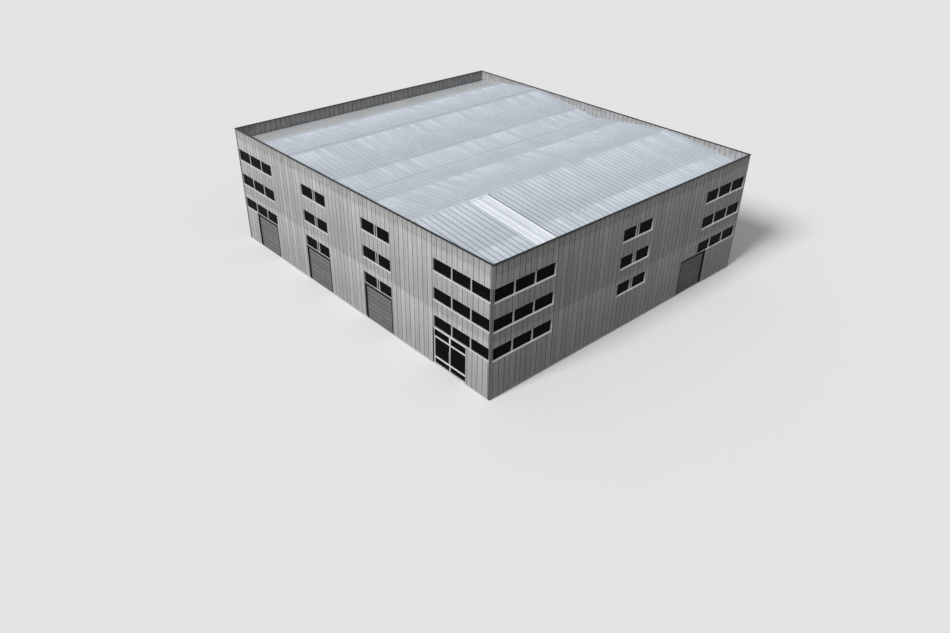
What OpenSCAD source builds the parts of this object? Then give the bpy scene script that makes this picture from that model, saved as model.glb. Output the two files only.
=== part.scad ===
// Three storey factory building with profiled sheet walls, roller doors and a hidden double gable roof.
// Millimetres, +Z up, origin on the ground at the middle of the footprint.
// The front with the entrance faces -Y, and the right side faces +X.

/* [Building] */
// Length over the outer faces of the front and back walls' cladding
hall_length = 37740; // [37000:20:40000]
// Width over the outer faces of the side walls' cladding
hall_width = 33640; // [33000:20:36000]
// Height from the ground to the top of the parapet cap
building_height = 12140; // [12000:10:12700]
// Thickness of the ground floor slab
slab_t = 40; // [40:5:120]
// Thickness of the wall core behind the cladding
core_t = 150; // [120:5:200]
// Thickness of the outer cladding sheets with their ribs
skin_t = 50; // [45:1:60]

/* [Cladding] */
// Cover width of one cladding sheet between its joints
sheet_cover = 600; // [500:10:700]
// Width of the open joint between two sheets
joint_w = 44; // [20:1:60]
// Depth of the open joint between two sheets
joint_d = 30; // [10:1:40]
// Slope of the joint's sides, in plan
joint_taper = 8; // [2:1:10]

/* [Windows] */
// Height of a window opening
window_h = 1210; // [1000:10:1300]
// Height of the sill of the lowest window row
first_sill_z = 3650; // [3550:10:3750]
// Depth of the top windows' heads below the cap's top
top_window_depth = 2060; // [1900:10:2300]
// Number of window rows
window_rows = 3; // [2:1:3]
// Width of the corner windows beside the entrance corner
near_corner_w = 6590; // [6400:10:6700]
// Width of the corner windows at the three other corners
far_corner_w = 6320; // [6200:10:6600]
// Depth from the wall face to the front of the window frames
frame_setback = 80; // [60:5:120]
// Depth of the window frames
frame_depth = 65; // [40:1:70]
// Width of a window frame's rim
rim_w = 26; // [25:1:60]
// Width of the mullions in the corner windows
mullion_w = 130; // [100:5:220]
// Width of the paired mullions in the middle windows
pair_mullion_w = 110; // [60:5:140]
// Width of the narrow light between the paired mullions
pair_slit_w = 180; // [100:5:240]
// Thickness of the window glass
glass_t = 12; // [8:1:16]
// Thickness of the boards that line a window opening
lining_board_t = 14; // [8:1:25]

/* [Doorways] */
// Width of every doorway
door_w = 4050; // [3900:10:4150]
// Distance that the entrance reaches past the corner windows above it
entrance_offset = 120; // [60:10:200]
// Distance from the far corner windows' near side to the last doorway of the front
last_door_offset = 130; // [20:10:200]
// Distance from the right side's doorway to the far corner windows' near side
side_door_offset = 2480; // [2300:10:2600]
// Distance from the entrance corner to the middle windows of the right side
side_window_at = 15020; // [14600:10:15400]
// Face width of the dark surround at a roller door's sides
surround_side = 150; // [120:5:180]
// Face height of the dark surround at a roller door's head
surround_head = 200; // [150:5:240]

/* [Roller doors] */
// Depth from the wall face to the door leaf
shutter_setback = 90; // [80:5:130]
// Thickness of the door leaf
shutter_t = 60; // [40:1:80]
// Number of panels in the height of a door
shutter_panels = 7; // [5:1:9]
// Height of the groove between two panels
panel_groove_h = 30; // [12:1:40]
// Depth of the groove between two panels
panel_groove_d = 14; // [6:1:20]

/* [Entrance] */
// Face width of the dark surround at the entrance's sides and head
entrance_trim = 20; // [15:5:60]
// Depth from the wall face to the entrance frame
entrance_setback = 115; // [90:5:120]
// Depth of the entrance frame
entrance_depth = 80; // [70:1:85]
// Face width of the frame's posts
post_w = 70; // [50:5:90]
// Height of the transom's underside above the ground
transom_z = 2690; // [2500:5:2800]
// Height of the transom
transom_h = 75; // [60:5:140]
// Height of the frame's head rail over the top lights
head_rail_h = 210; // [150:5:250]
// Width of the post between the two top lights
light_post_w = 180; // [120:5:220]
// Height of the threshold bar
threshold_h = 12; // [8:1:16]

/* [Entrance leaves] */
// Thickness of a leaf
leaf_t = 60; // [40:2:66]
// Clearance at a leaf's side, and between the two leaves
leaf_side_gap = 8; // [6:1:12]
// Clearance under and over a leaf
leaf_end_gap = 10; // [6:1:14]
// Width of a leaf's stiles
stile_w = 55; // [50:5:120]
// Height of a leaf's top rail
top_rail_h = 65; // [60:5:140]
// Height of a leaf's bottom rail
bottom_rail_h = 45; // [45:5:180]
// Height of a leaf's middle rail
middle_rail_h = 165; // [100:5:220]
// Height of the middle rail's underside above the ground
middle_rail_z = 580; // [450:5:800]
// Radius of the pivot pins
pivot_r = 12; // [8:1:15]
// Height of a pivot pin inside the leaf
pivot_h = 50; // [30:5:70]
// Running clearance round and under a pivot
pivot_gap = 0.3; // [0.2:0.1:0.5]
// Radius of the collar under a leaf
collar_r = 22; // [18:1:26]
// Radius of the pull handles
handle_r = 16; // [12:1:20]
// Length of the pull handles
handle_len = 1200; // [600:50:1500]
// Height of the handles' lower ends above the ground
handle_z = 850; // [800:50:1000]
// Distance from a leaf's face to the handle's axis
handle_reach = 60; // [45:5:70]

/* [Parapet] */
// Thickness of the lining sheets on the parapet's inner face
lining_t = 30; // [28:1:40]
// Depth of the joints in the lining sheets
lining_joint_d = 18; // [8:1:20]
// Height of the cap's folded edge on the outside
cap_edge_h = 80; // [70:5:140]
// Height of the cap's folded edge on the inside
cap_inner_edge_h = 60; // [40:5:70]
// Thickness of the cap's top plate
cap_plate_t = 20; // [10:1:30]
// Distance that the cap stands out from the wall face and from the lining
cap_lip = 30; // [15:1:40]

/* [Roof] */
// Depth of the roof sheets below the cap's top at the gutters
eave_depth = 1200; // [1100:10:1300]
// Depth of the roof sheets below the cap's top at the two ridges
ridge_depth = 120; // [110:10:300]
// Thickness of the roof panels
roof_t = 100; // [80:5:140]
// Cover width of one roof sheet between its standing seams
seam_cover = 600; // [500:10:700]
// Height of a standing seam
seam_h = 45; // [25:1:60]
// Width of a standing seam
seam_w = 34; // [20:1:50]
// Distance from a slope's lower end to the lap of its two sheets
lap_at = 3050; // [2500:50:4500]
// Step of the upper sheet at the lap
lap_step = 14; // [6:1:20]
// Distance from a gutter's middle, or from the lining, to the roof sheets' lower edge
drip_gap = 60; // [40:5:100]
// Distance from a gutter's middle, or from the lining, to its side
gutter_half = 200; // [160:5:260]
// Depth of the gutters
gutter_d = 220; // [180:5:260]
// Thickness of the gutter's plate
gutter_t = 12; // [8:1:16]
// Width of one side of a ridge cap
ridge_wing = 170; // [120:5:240]
// Thickness of a ridge cap
ridge_cap_t = 10; // [6:1:14]

/* [Floors and frame] */
// Height of a window sill above the floor behind it
sill_over_floor = 920; // [800:10:1000]
// Thickness of the upper floors
upper_floor_t = 250; // [200:10:300]
// Width and depth of a column's section
column_w = 300; // [240:10:400]
// Thickness of a column's web and flanges
column_plate_t = 24; // [16:1:30]
// Distance from the middle of the building to each row of columns
column_row_y = 5600; // [5000:50:6500]
// Depth of the roof beams
beam_h = 450; // [350:10:550]
// Thickness of the roof beams
beam_t = 200; // [150:10:260]
// Clearance where columns, beams, gutters and ridge caps meet what they carry or rest on
seat_gap = 0.3; // [0.2:0.1:0.5]

/* [Hidden] */
$fn = 48;

// Outer faces, inner faces and heights of the shell
half_l = hall_length / 2;
half_w = hall_width / 2;
wall_t = core_t + skin_t;
inner_x = half_l - wall_t;
inner_y = half_w - wall_t;
shell_x = half_l - skin_t;
shell_y = half_w - skin_t;
wall_top_z = building_height - cap_plate_t;
past = 5;

// Heights of the window rows, the floors and the doorways
top_sill_z = building_height - top_window_depth - window_h;
row_pitch = (top_sill_z - first_sill_z) / (window_rows - 1);
sill_zs = [for (row = [0:window_rows - 1]) first_sill_z + row * row_pitch];
floor_zs = [for (row = [1:window_rows - 1]) sill_zs[row] - sill_over_floor];
door_head_z = first_sill_z;

// Windows and doorways, as distances from the entrance corner
front_bays = 3;
front_far_window_at = hall_length - wall_t - far_corner_w;
side_far_window_at = hall_width - wall_t - far_corner_w;
entrance_at = wall_t + near_corner_w + entrance_offset - door_w;
last_door_at = front_far_window_at + last_door_offset;
bay_pitch = (last_door_at - entrance_at) / front_bays;
front_door_ats = [for (bay = [1:front_bays]) entrance_at + bay * bay_pitch];
side_door_at = side_far_window_at - side_door_offset;
glass_setback = frame_setback + frame_depth;

// A window is [distance from the right or front corner, width, number of wide lights]
front_windows = [
    [wall_t, near_corner_w, 3],
    [front_door_ats[0], door_w, 2],
    [front_door_ats[1], door_w, 2],
    [front_far_window_at, far_corner_w, 3]
];
side_windows = [
    [wall_t, near_corner_w, 3],
    [side_window_at, door_w, 2],
    [side_far_window_at, far_corner_w, 3]
];

// Entrance frame and leaves, from the entrance doorway's own left edge
entrance_x0 = half_l - entrance_at - door_w;
entrance_head_z = door_head_z - entrance_trim;
frame_x0 = entrance_x0 + entrance_trim;
frame_w = door_w - 2 * entrance_trim;
frame_y0 = -half_w + entrance_setback;
leaf_y = frame_y0 + entrance_depth / 2;
leaf_z0 = slab_t + threshold_h + leaf_end_gap;
leaf_z1 = transom_z - leaf_end_gap;
leaf_w = (frame_w - 2 * post_w - 3 * leaf_side_gap) / 2;
pivot_inset = leaf_t / 2;
left_pivot_x = frame_x0 + post_w + leaf_side_gap + pivot_inset;
right_pivot_x = frame_x0 + frame_w - post_w - leaf_side_gap - pivot_inset;

// Roof between the parapets, which are cladding and lining back to back on top of the wall cores
roof_x = shell_x - lining_t;
roof_y = shell_y - lining_t;
eave_z = building_height - eave_depth;
ridge_z = building_height - ridge_depth;
ridge_x = roof_x / 2;
slope_run = ridge_x - drip_gap;
slope_rise = (ridge_z - eave_z) / slope_run;
gutter_bottom_z = eave_z - gutter_d;
core_top_z = gutter_bottom_z;
slope_low_xs = [-roof_x + drip_gap, -drip_gap, drip_gap, roof_x - drip_gap];
slope_ridge_xs = [-ridge_x, -ridge_x, ridge_x, ridge_x];
seam_root = 10;
column_xs = [-ridge_x, 0, ridge_x];

// Height of the roof panels' underside at a distance from the gutter's middle or the lining
function under_z(distance) = eave_z - roof_t + (distance - drip_gap) * slope_rise;

// Height of what carries the panels there
function seat_z(distance) = under_z(distance) - seat_gap;

// Plan outline of a ribbed sheet: back on the X axis, open joints towards +Y
function sheet_joints(length) =
    let (count = floor(length / sheet_cover), first = (length - count * sheet_cover) / 2)
    [for (i = [0:count]) first + i * sheet_cover];

function sheet_outline(length, thickness, depth) =
    let (joints = [for (at = sheet_joints(length)) if (at > joint_w && at < length - joint_w) at])
    concat(
        [[0, 0], [0, thickness]],
        [for (at = joints) each [
            [at - joint_w / 2, thickness],
            [at - joint_w / 2 + joint_taper, thickness - depth],
            [at + joint_w / 2 - joint_taper, thickness - depth],
            [at + joint_w / 2, thickness]
        ]],
        [[length, thickness], [length, 0]]
    );

// Turns a wall that is drawn along +X from the right or front corner, outer face on the XZ plane and
// body towards +Y, to its place on each side. Front and back start at the right-hand end.
module on_front() {
    translate([half_l, -half_w, 0]) mirror([1, 0, 0]) children();
}

module on_back() {
    translate([half_l, half_w, 0]) rotate([0, 0, 180]) children();
}

module on_right() {
    translate([half_l, -half_w, 0]) rotate([0, 0, 90]) children();
}

module on_left() {
    translate([-half_l, -half_w, 0]) mirror([1, 0, 0]) rotate([0, 0, 90]) children();
}

// Cutters for windows and doorways, drawn in a wall's own place
module window_cuts(windows) {
    for (window = windows, sill = sill_zs)
        translate([window[0], -past, sill]) cube([window[1], wall_t + 2 * past, window_h]);
}

module door_cut(at) {
    translate([at, -past, slab_t - past])
        cube([door_w, wall_t + 2 * past, door_head_z - slab_t + past]);
}

module front_door_cuts() {
    for (at = front_door_ats) door_cut(at);
}

// Plain core of a wall from one distance to another, standing on the slab or over a doorway
module wall_core(from, to, bottom_z) {
    translate([from, skin_t, bottom_z]) cube([to - from, core_t, core_top_z - bottom_z]);
}

// Ribbed cladding of a whole wall between its corner posts
module wall_sheets(length) {
    translate([wall_t, skin_t, slab_t])
        linear_extrude(wall_top_z - slab_t)
            mirror([0, 1]) polygon(sheet_outline(length - 2 * wall_t, skin_t, joint_d));
}

// Frame of one window group: rim and mullions as one piece
module window_frame(width, lights) {
    corner_light_w = (width - 2 * rim_w - 2 * mullion_w) / 3;
    pair_light_w = (width - 2 * rim_w - 2 * pair_mullion_w - pair_slit_w) / 2;
    light_ws = lights == 3
        ? [corner_light_w, corner_light_w, corner_light_w]
        : [pair_light_w, pair_slit_w, pair_light_w];
    bar_w = lights == 3 ? mullion_w : pair_mullion_w;
    light_xs = [rim_w, rim_w + light_ws[0] + bar_w, rim_w + light_ws[0] + light_ws[1] + 2 * bar_w];
    difference() {
        cube([width, frame_depth, window_h]);
        for (i = [0:2])
            translate([light_xs[i], -past, rim_w])
                cube([light_ws[i], frame_depth + 2 * past, window_h - 2 * rim_w]);
    }
}

module window_frames(windows) {
    for (window = windows, sill = sill_zs)
        translate([window[0], frame_setback, sill]) window_frame(window[1], window[2]);
}

module window_glass(windows) {
    for (window = windows, sill = sill_zs)
        translate([window[0], glass_setback, sill]) cube([window[1], glass_t, window_h]);
}

// Boards on the sill, sides and head of a window opening, in front of its frame
module window_boards(windows) {
    for (window = windows, sill = sill_zs)
        translate([window[0], 0, sill]) difference() {
            cube([window[1], frame_setback, window_h]);
            translate([lining_board_t, -past, lining_board_t])
                cube([window[1] - 2 * lining_board_t, frame_setback + 2 * past, window_h - 2 * lining_board_t]);
        }
}

// Dark surround of a doorway: two sides and a head
module door_surround(side, head) {
    difference() {
        translate([0, 0, slab_t]) cube([door_w, wall_t, door_head_z - slab_t]);
        translate([side, -past, slab_t - past])
            cube([door_w - 2 * side, wall_t + 2 * past, door_head_z - head - slab_t + past]);
    }
}

// Panelled door between the sides of its surround, with grooves from panel to panel
module shutter_leaf() {
    height = door_head_z - surround_head - slab_t;
    panel_h = height / shutter_panels;
    grooves = [for (i = [1:shutter_panels - 1]) i * panel_h];
    outline = concat(
        [[shutter_t, 0], [0, 0]],
        [for (z = grooves) each [
            [0, z - panel_groove_h / 2],
            [panel_groove_d, z - panel_groove_h / 4],
            [panel_groove_d, z + panel_groove_h / 4],
            [0, z + panel_groove_h / 2]
        ]],
        [[0, height], [shutter_t, height]]
    );
    translate([surround_side, shutter_setback, slab_t])
        rotate([90, 0, 90]) linear_extrude(door_w - 2 * surround_side) polygon(outline);
}

// One roof slope from its lower edge to its ridge, with seams that run down the slope
module roof_slope(low_x, top_x) {
    way = sign(top_x - low_x);
    lap_x = low_x + way * lap_at;
    lap_z = eave_z + lap_at * slope_rise;
    plate = [
        [low_x, eave_z - roof_t],
        [low_x, eave_z],
        [lap_x, lap_z],
        [lap_x, lap_z + lap_step],
        [top_x, ridge_z + lap_step],
        [top_x, ridge_z - roof_t]
    ];
    seam = [
        [low_x, eave_z - seam_root],
        [low_x, eave_z + seam_h],
        [lap_x, lap_z + seam_h],
        [lap_x, lap_z + seam_h + lap_step],
        [top_x, ridge_z + seam_h + lap_step],
        [top_x, ridge_z - seam_root]
    ];
    count = floor((2 * roof_y - seam_w) / seam_cover);
    translate([0, roof_y, 0]) rotate([90, 0, 0]) linear_extrude(2 * roof_y) polygon(plate);
    for (i = [0:count])
        translate([0, (i - count / 2) * seam_cover + seam_w / 2, 0])
            rotate([90, 0, 0]) linear_extrude(seam_w) polygon(seam);
}

// Folded cap that rests on the seams along one ridge
module ridge_cap(x) {
    foot_z = ridge_z + seam_h + lap_step + seat_gap;
    fall = ridge_wing * slope_rise;
    cap_half_len = roof_y - cap_lip - seat_gap;
    translate([x, cap_half_len, 0]) rotate([90, 0, 0]) linear_extrude(2 * cap_half_len) polygon([
        [-ridge_wing, foot_z - fall],
        [0, foot_z],
        [ridge_wing, foot_z - fall],
        [ridge_wing, foot_z - fall + ridge_cap_t],
        [0, foot_z + ridge_cap_t],
        [-ridge_wing, foot_z - fall + ridge_cap_t]
    ]);
}

// Half of the valley gutter's outline: from its middle to the side under a roof slope
gutter_side = [
    [gutter_half, gutter_bottom_z],
    [gutter_half, seat_z(gutter_half)],
    [gutter_half - gutter_t, seat_z(gutter_half - gutter_t)],
    [gutter_half - gutter_t, gutter_bottom_z + gutter_t]
];

module gutter_run(outline) {
    translate([0, roof_y, 0]) rotate([90, 0, 0]) linear_extrude(2 * roof_y) polygon(outline);
}

module valley_gutter() {
    gutter_run(concat(
        gutter_side,
        [for (i = [3:-1:0]) [-gutter_side[i][0], gutter_side[i][1]]]
    ));
}

module wall_gutter() {
    translate([-roof_x, 0, 0]) gutter_run(concat(
        gutter_side,
        [
            [gutter_t, gutter_bottom_z + gutter_t],
            [gutter_t, eave_z - roof_t],
            [0, eave_z - roof_t],
            [0, gutter_bottom_z]
        ]
    ));
}

// Rolled steel column section as a plan outline
module column(height) {
    linear_extrude(height) {
        for (side = [-1, 1])
            translate([-column_w / 2, side * (column_w - column_plate_t) / 2 - column_plate_t / 2])
                square([column_w, column_plate_t]);
        translate([-column_plate_t / 2, -column_w / 2]) square([column_plate_t, column_w]);
    }
}

// Frame of an entrance leaf, drawn from its pivot towards +X
module leaf_frame() {
    height = leaf_z1 - leaf_z0;
    outer_w = leaf_w - pivot_inset;
    light_x0 = stile_w - pivot_inset;
    light_w = leaf_w - 2 * stile_w;
    lower_h = middle_rail_z - leaf_z0 - bottom_rail_h;
    upper_z0 = middle_rail_z + middle_rail_h;
    difference() {
        union() {
            translate([0, -leaf_t / 2, leaf_z0]) cube([outer_w, leaf_t, height]);
            translate([0, 0, leaf_z0]) cylinder(h = height, r = pivot_inset);
        }
        translate([light_x0, -leaf_t, leaf_z0 + bottom_rail_h]) cube([light_w, 2 * leaf_t, lower_h]);
        translate([light_x0, -leaf_t, upper_z0])
            cube([light_w, 2 * leaf_t, leaf_z1 - top_rail_h - upper_z0]);
        for (z = [leaf_z0 - past, leaf_z1 - pivot_h])
            translate([0, 0, z]) cylinder(h = pivot_h + past, r = pivot_r + pivot_gap);
    }
}

module leaf_handle() {
    at_x = leaf_w - pivot_inset - stile_w / 2;
    translate([at_x, -leaf_t / 2 - handle_reach, handle_z]) cylinder(h = handle_len, r = handle_r);
    for (z = [handle_z + handle_len / 6, handle_z + handle_len * 5 / 6])
        translate([at_x, -leaf_t / 2, z])
            rotate([90, 0, 0]) cylinder(h = handle_reach, r = handle_r * 0.7);
}

module leaf_glass() {
    light_x0 = stile_w - pivot_inset;
    light_w = leaf_w - 2 * stile_w;
    upper_z0 = middle_rail_z + middle_rail_h;
    lower_z0 = leaf_z0 + bottom_rail_h;
    translate([light_x0, -glass_t, lower_z0]) cube([light_w, 2 * glass_t, middle_rail_z - lower_z0]);
    translate([light_x0, -glass_t, upper_z0])
        cube([light_w, 2 * glass_t, leaf_z1 - top_rail_h - upper_z0]);
}

module on_left_pivot() {
    translate([left_pivot_x, leaf_y, 0]) children();
}

module on_right_pivot() {
    translate([right_pivot_x, leaf_y, 0]) mirror([1, 0, 0]) children();
}

// Floors and frame

module floor_slab() {
    color([0.56, 0.56, 0.55])
        translate([-half_l, -half_w, 0]) cube([hall_length, hall_width, slab_t]);
}

module upper_floors() {
    color([0.6, 0.6, 0.58])
        for (z = floor_zs)
            translate([-inner_x, -inner_y, z - upper_floor_t])
                cube([2 * inner_x, 2 * inner_y, upper_floor_t]);
}

module columns() {
    color([0.42, 0.44, 0.46])
        for (x = column_xs, y = [-column_row_y, column_row_y]) {
            beam_z = (x == 0 ? gutter_bottom_z : seat_z(ridge_x - column_w / 2)) - beam_h;
            feet = concat([slab_t], floor_zs);
            heads = concat([for (z = floor_zs) z - upper_floor_t], [beam_z - seat_gap]);
            for (i = [0:len(feet) - 1]) translate([x, y, feet[i]]) column(heads[i] - feet[i]);
        }
}

module roof_beams() {
    low = gutter_bottom_z;
    top = seat_z(ridge_x);
    low_edge = seat_z(gutter_half);
    outline = [
        [-inner_x, low], [-roof_x + gutter_half, low], [-roof_x + gutter_half, low_edge],
        [-ridge_x, top],
        [-gutter_half, low_edge], [-gutter_half, low], [gutter_half, low], [gutter_half, low_edge],
        [ridge_x, top],
        [roof_x - gutter_half, low_edge], [roof_x - gutter_half, low], [inner_x, low],
        [inner_x, low - beam_h], [roof_x - gutter_half, low - beam_h],
        [ridge_x + column_w / 2, top - beam_h - column_w / 2 * slope_rise],
        [ridge_x - column_w / 2, top - beam_h - column_w / 2 * slope_rise],
        [gutter_half, low - beam_h], [-gutter_half, low - beam_h],
        [-ridge_x + column_w / 2, top - beam_h - column_w / 2 * slope_rise],
        [-ridge_x - column_w / 2, top - beam_h - column_w / 2 * slope_rise],
        [-roof_x + gutter_half, low - beam_h], [-inner_x, low - beam_h]
    ];
    color([0.42, 0.44, 0.46])
        for (y = [-column_row_y, column_row_y])
            translate([0, y + beam_t / 2, 0]) rotate([90, 0, 0]) linear_extrude(beam_t) polygon(outline);
}

// Full posts as high as the wall cores, and a folded angle from there to the parapet cap
module corner_posts() {
    color([0.45, 0.46, 0.48]) difference() {
        for (x = [-half_l, half_l - wall_t], y = [-half_w, half_w - wall_t])
            translate([x, y, slab_t]) cube([wall_t, wall_t, wall_top_z - slab_t]);
        translate([-shell_x, -shell_y, core_top_z])
            cube([2 * shell_x, 2 * shell_y, wall_top_z - core_top_z + past]);
    }
}

// Wall cores

module front_wall_left() {
    color([0.7, 0.71, 0.72]) on_front() difference() {
        wall_core(entrance_at + door_w, hall_length - wall_t, slab_t);
        window_cuts(front_windows);
        front_door_cuts();
    }
}

module front_wall_over_entrance() {
    color([0.7, 0.71, 0.72]) on_front() difference() {
        wall_core(entrance_at, entrance_at + door_w, door_head_z);
        window_cuts(front_windows);
    }
}

module front_wall_right() {
    color([0.7, 0.71, 0.72]) on_front() difference() {
        wall_core(wall_t, entrance_at, slab_t);
        window_cuts(front_windows);
    }
}

module right_wall() {
    color([0.7, 0.71, 0.72]) on_right() difference() {
        wall_core(wall_t, hall_width - wall_t, slab_t);
        window_cuts(side_windows);
        door_cut(side_door_at);
    }
}

module back_wall() {
    color([0.7, 0.71, 0.72]) on_back() difference() {
        wall_core(wall_t, hall_length - wall_t, slab_t);
        window_cuts(front_windows);
    }
}

module left_wall() {
    color([0.7, 0.71, 0.72]) on_left() difference() {
        wall_core(wall_t, hall_width - wall_t, slab_t);
        window_cuts(side_windows);
    }
}

// Cladding

module front_cladding() {
    color([0.76, 0.76, 0.77]) on_front() difference() {
        wall_sheets(hall_length);
        window_cuts(front_windows);
        front_door_cuts();
        door_cut(entrance_at);
    }
}

module right_cladding() {
    color([0.76, 0.76, 0.77]) on_right() difference() {
        wall_sheets(hall_width);
        window_cuts(side_windows);
        door_cut(side_door_at);
    }
}

module back_cladding() {
    color([0.76, 0.76, 0.77]) on_back() difference() {
        wall_sheets(hall_length);
        window_cuts(front_windows);
    }
}

module left_cladding() {
    color([0.76, 0.76, 0.77]) on_left() difference() {
        wall_sheets(hall_width);
        window_cuts(side_windows);
    }
}

// Parapet

module parapet_lining() {
    height = wall_top_z - gutter_bottom_z;
    color([0.55, 0.55, 0.54]) translate([0, 0, gutter_bottom_z]) {
        for (turn = [0, 180])
            rotate([0, 0, turn]) translate([-shell_x, -shell_y, 0])
                linear_extrude(height) polygon(sheet_outline(2 * shell_x, lining_t, lining_joint_d));
        for (turn = [90, 270])
            rotate([0, 0, turn]) translate([-roof_y, -shell_x, 0])
                linear_extrude(height) polygon(sheet_outline(2 * roof_y, lining_t, lining_joint_d));
    }
}

module parapet_cap() {
    outer_l = hall_length + 2 * cap_lip;
    outer_w = hall_width + 2 * cap_lip;
    color([0.16, 0.17, 0.19]) difference() {
        translate([-outer_l / 2, -outer_w / 2, building_height - cap_edge_h])
            cube([outer_l, outer_w, cap_edge_h]);
        translate([-roof_x + cap_lip, -roof_y + cap_lip, 0])
            cube([2 * (roof_x - cap_lip), 2 * (roof_y - cap_lip), building_height + past]);
        translate([-roof_x - past, -roof_y - past, 0])
            cube([2 * (roof_x + past), 2 * (roof_y + past), building_height - cap_inner_edge_h]);
        difference() {
            translate([-half_l, -half_w, 0]) cube([hall_length, hall_width, wall_top_z]);
            translate([-roof_x, -roof_y, -past]) cube([2 * roof_x, 2 * roof_y, building_height]);
        }
    }
}

// Windows

module front_window_frames() {
    color([0.93, 0.93, 0.93]) on_front() window_frames(front_windows);
}

module right_window_frames() {
    color([0.93, 0.93, 0.93]) on_right() window_frames(side_windows);
}

module back_window_frames() {
    color([0.93, 0.93, 0.93]) on_back() window_frames(front_windows);
}

module left_window_frames() {
    color([0.93, 0.93, 0.93]) on_left() window_frames(side_windows);
}

module front_window_glass() {
    color([0.04, 0.05, 0.06]) on_front() window_glass(front_windows);
}

module right_window_glass() {
    color([0.04, 0.05, 0.06]) on_right() window_glass(side_windows);
}

module back_window_glass() {
    color([0.04, 0.05, 0.06]) on_back() window_glass(front_windows);
}

module left_window_glass() {
    color([0.04, 0.05, 0.06]) on_left() window_glass(side_windows);
}

module window_linings() {
    color([0.93, 0.93, 0.93]) {
        on_front() window_boards(front_windows);
        on_right() window_boards(side_windows);
        on_back() window_boards(front_windows);
        on_left() window_boards(side_windows);
    }
}

// Doors

module front_shutter(number) {
    color([0.46, 0.46, 0.47]) on_front() translate([front_door_ats[number - 1], 0, 0]) shutter_leaf();
}

module front_shutter_1() {
    front_shutter(1);
}

module front_shutter_2() {
    front_shutter(2);
}

module front_shutter_3() {
    front_shutter(3);
}

module right_shutter() {
    color([0.46, 0.46, 0.47]) on_right() translate([side_door_at, 0, 0]) shutter_leaf();
}

module shutter_surrounds() {
    color([0.1, 0.1, 0.11]) {
        on_front() for (at = front_door_ats)
            translate([at, 0, 0]) door_surround(surround_side, surround_head);
        on_right() translate([side_door_at, 0, 0]) door_surround(surround_side, surround_head);
    }
}

module entrance_surround() {
    color([0.1, 0.1, 0.11]) on_front()
        translate([entrance_at, 0, 0]) door_surround(entrance_trim, entrance_trim);
}

// Entrance

module entrance_frame() {
    light_z0 = transom_z + transom_h;
    color([0.93, 0.93, 0.93]) {
        difference() {
            translate([frame_x0, frame_y0, slab_t])
                cube([frame_w, entrance_depth, entrance_head_z - slab_t]);
            translate([frame_x0 + post_w, frame_y0 - past, slab_t + threshold_h])
                cube([frame_w - 2 * post_w, entrance_depth + 2 * past, transom_z - slab_t - threshold_h]);
            for (side = [0, 1])
                translate([
                    side == 0 ? frame_x0 + post_w : frame_x0 + (frame_w + light_post_w) / 2,
                    frame_y0 - past,
                    light_z0
                ])
                    cube([
                        (frame_w - light_post_w) / 2 - post_w,
                        entrance_depth + 2 * past,
                        entrance_head_z - head_rail_h - light_z0
                    ]);
        }
        for (x = [left_pivot_x, right_pivot_x]) {
            translate([x, leaf_y, slab_t]) cylinder(h = threshold_h + leaf_end_gap - pivot_gap, r = collar_r);
            translate([x, leaf_y, slab_t]) cylinder(h = threshold_h + leaf_end_gap + pivot_h - past, r = pivot_r);
            translate([x, leaf_y, leaf_z1 - pivot_h + past])
                cylinder(h = pivot_h + leaf_end_gap, r = pivot_r);
        }
    }
}

module entrance_top_glass() {
    light_z0 = transom_z + transom_h;
    color([0.04, 0.05, 0.06])
        for (x = [frame_x0 + post_w, frame_x0 + (frame_w + light_post_w) / 2])
            translate([x, leaf_y - glass_t, light_z0])
                cube([
                    (frame_w - light_post_w) / 2 - post_w,
                    2 * glass_t,
                    entrance_head_z - head_rail_h - light_z0
                ]);
}

module entrance_leaf_left() {
    color([0.93, 0.93, 0.93]) on_left_pivot() {
        leaf_frame();
        leaf_handle();
    }
}

module entrance_leaf_right() {
    color([0.93, 0.93, 0.93]) on_right_pivot() {
        leaf_frame();
        leaf_handle();
    }
}

module leaf_glass_left() {
    color([0.04, 0.05, 0.06]) on_left_pivot() leaf_glass();
}

module leaf_glass_right() {
    color([0.04, 0.05, 0.06]) on_right_pivot() leaf_glass();
}

// Roof

module numbered_slope(number) {
    color([0.74, 0.77, 0.8]) roof_slope(slope_low_xs[number - 1], slope_ridge_xs[number - 1]);
}

module roof_slope_1() {
    numbered_slope(1);
}

module roof_slope_2() {
    numbered_slope(2);
}

module roof_slope_3() {
    numbered_slope(3);
}

module roof_slope_4() {
    numbered_slope(4);
}

module ridge_caps() {
    color([0.74, 0.77, 0.8]) for (x = [-ridge_x, ridge_x]) ridge_cap(x);
}

module roof_gutters() {
    color([0.5, 0.52, 0.54]) {
        wall_gutter();
        valley_gutter();
        mirror([1, 0, 0]) wall_gutter();
    }
}

floor_slab();
upper_floors();
columns();
roof_beams();
corner_posts();
front_wall_left();
front_wall_over_entrance();
front_wall_right();
right_wall();
back_wall();
left_wall();
front_cladding();
right_cladding();
back_cladding();
left_cladding();
parapet_lining();
parapet_cap();
front_window_frames();
right_window_frames();
back_window_frames();
left_window_frames();
front_window_glass();
right_window_glass();
back_window_glass();
left_window_glass();
window_linings();
front_shutter_1();
front_shutter_2();
front_shutter_3();
right_shutter();
shutter_surrounds();
entrance_surround();
entrance_frame();
entrance_top_glass();
entrance_leaf_left();
entrance_leaf_right();
leaf_glass_left();
leaf_glass_right();
roof_slope_1();
roof_slope_2();
roof_slope_3();
roof_slope_4();
ridge_caps();
roof_gutters();
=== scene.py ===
"""Looks of a clad factory building: finishes, trims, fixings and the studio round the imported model."""

import math

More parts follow.
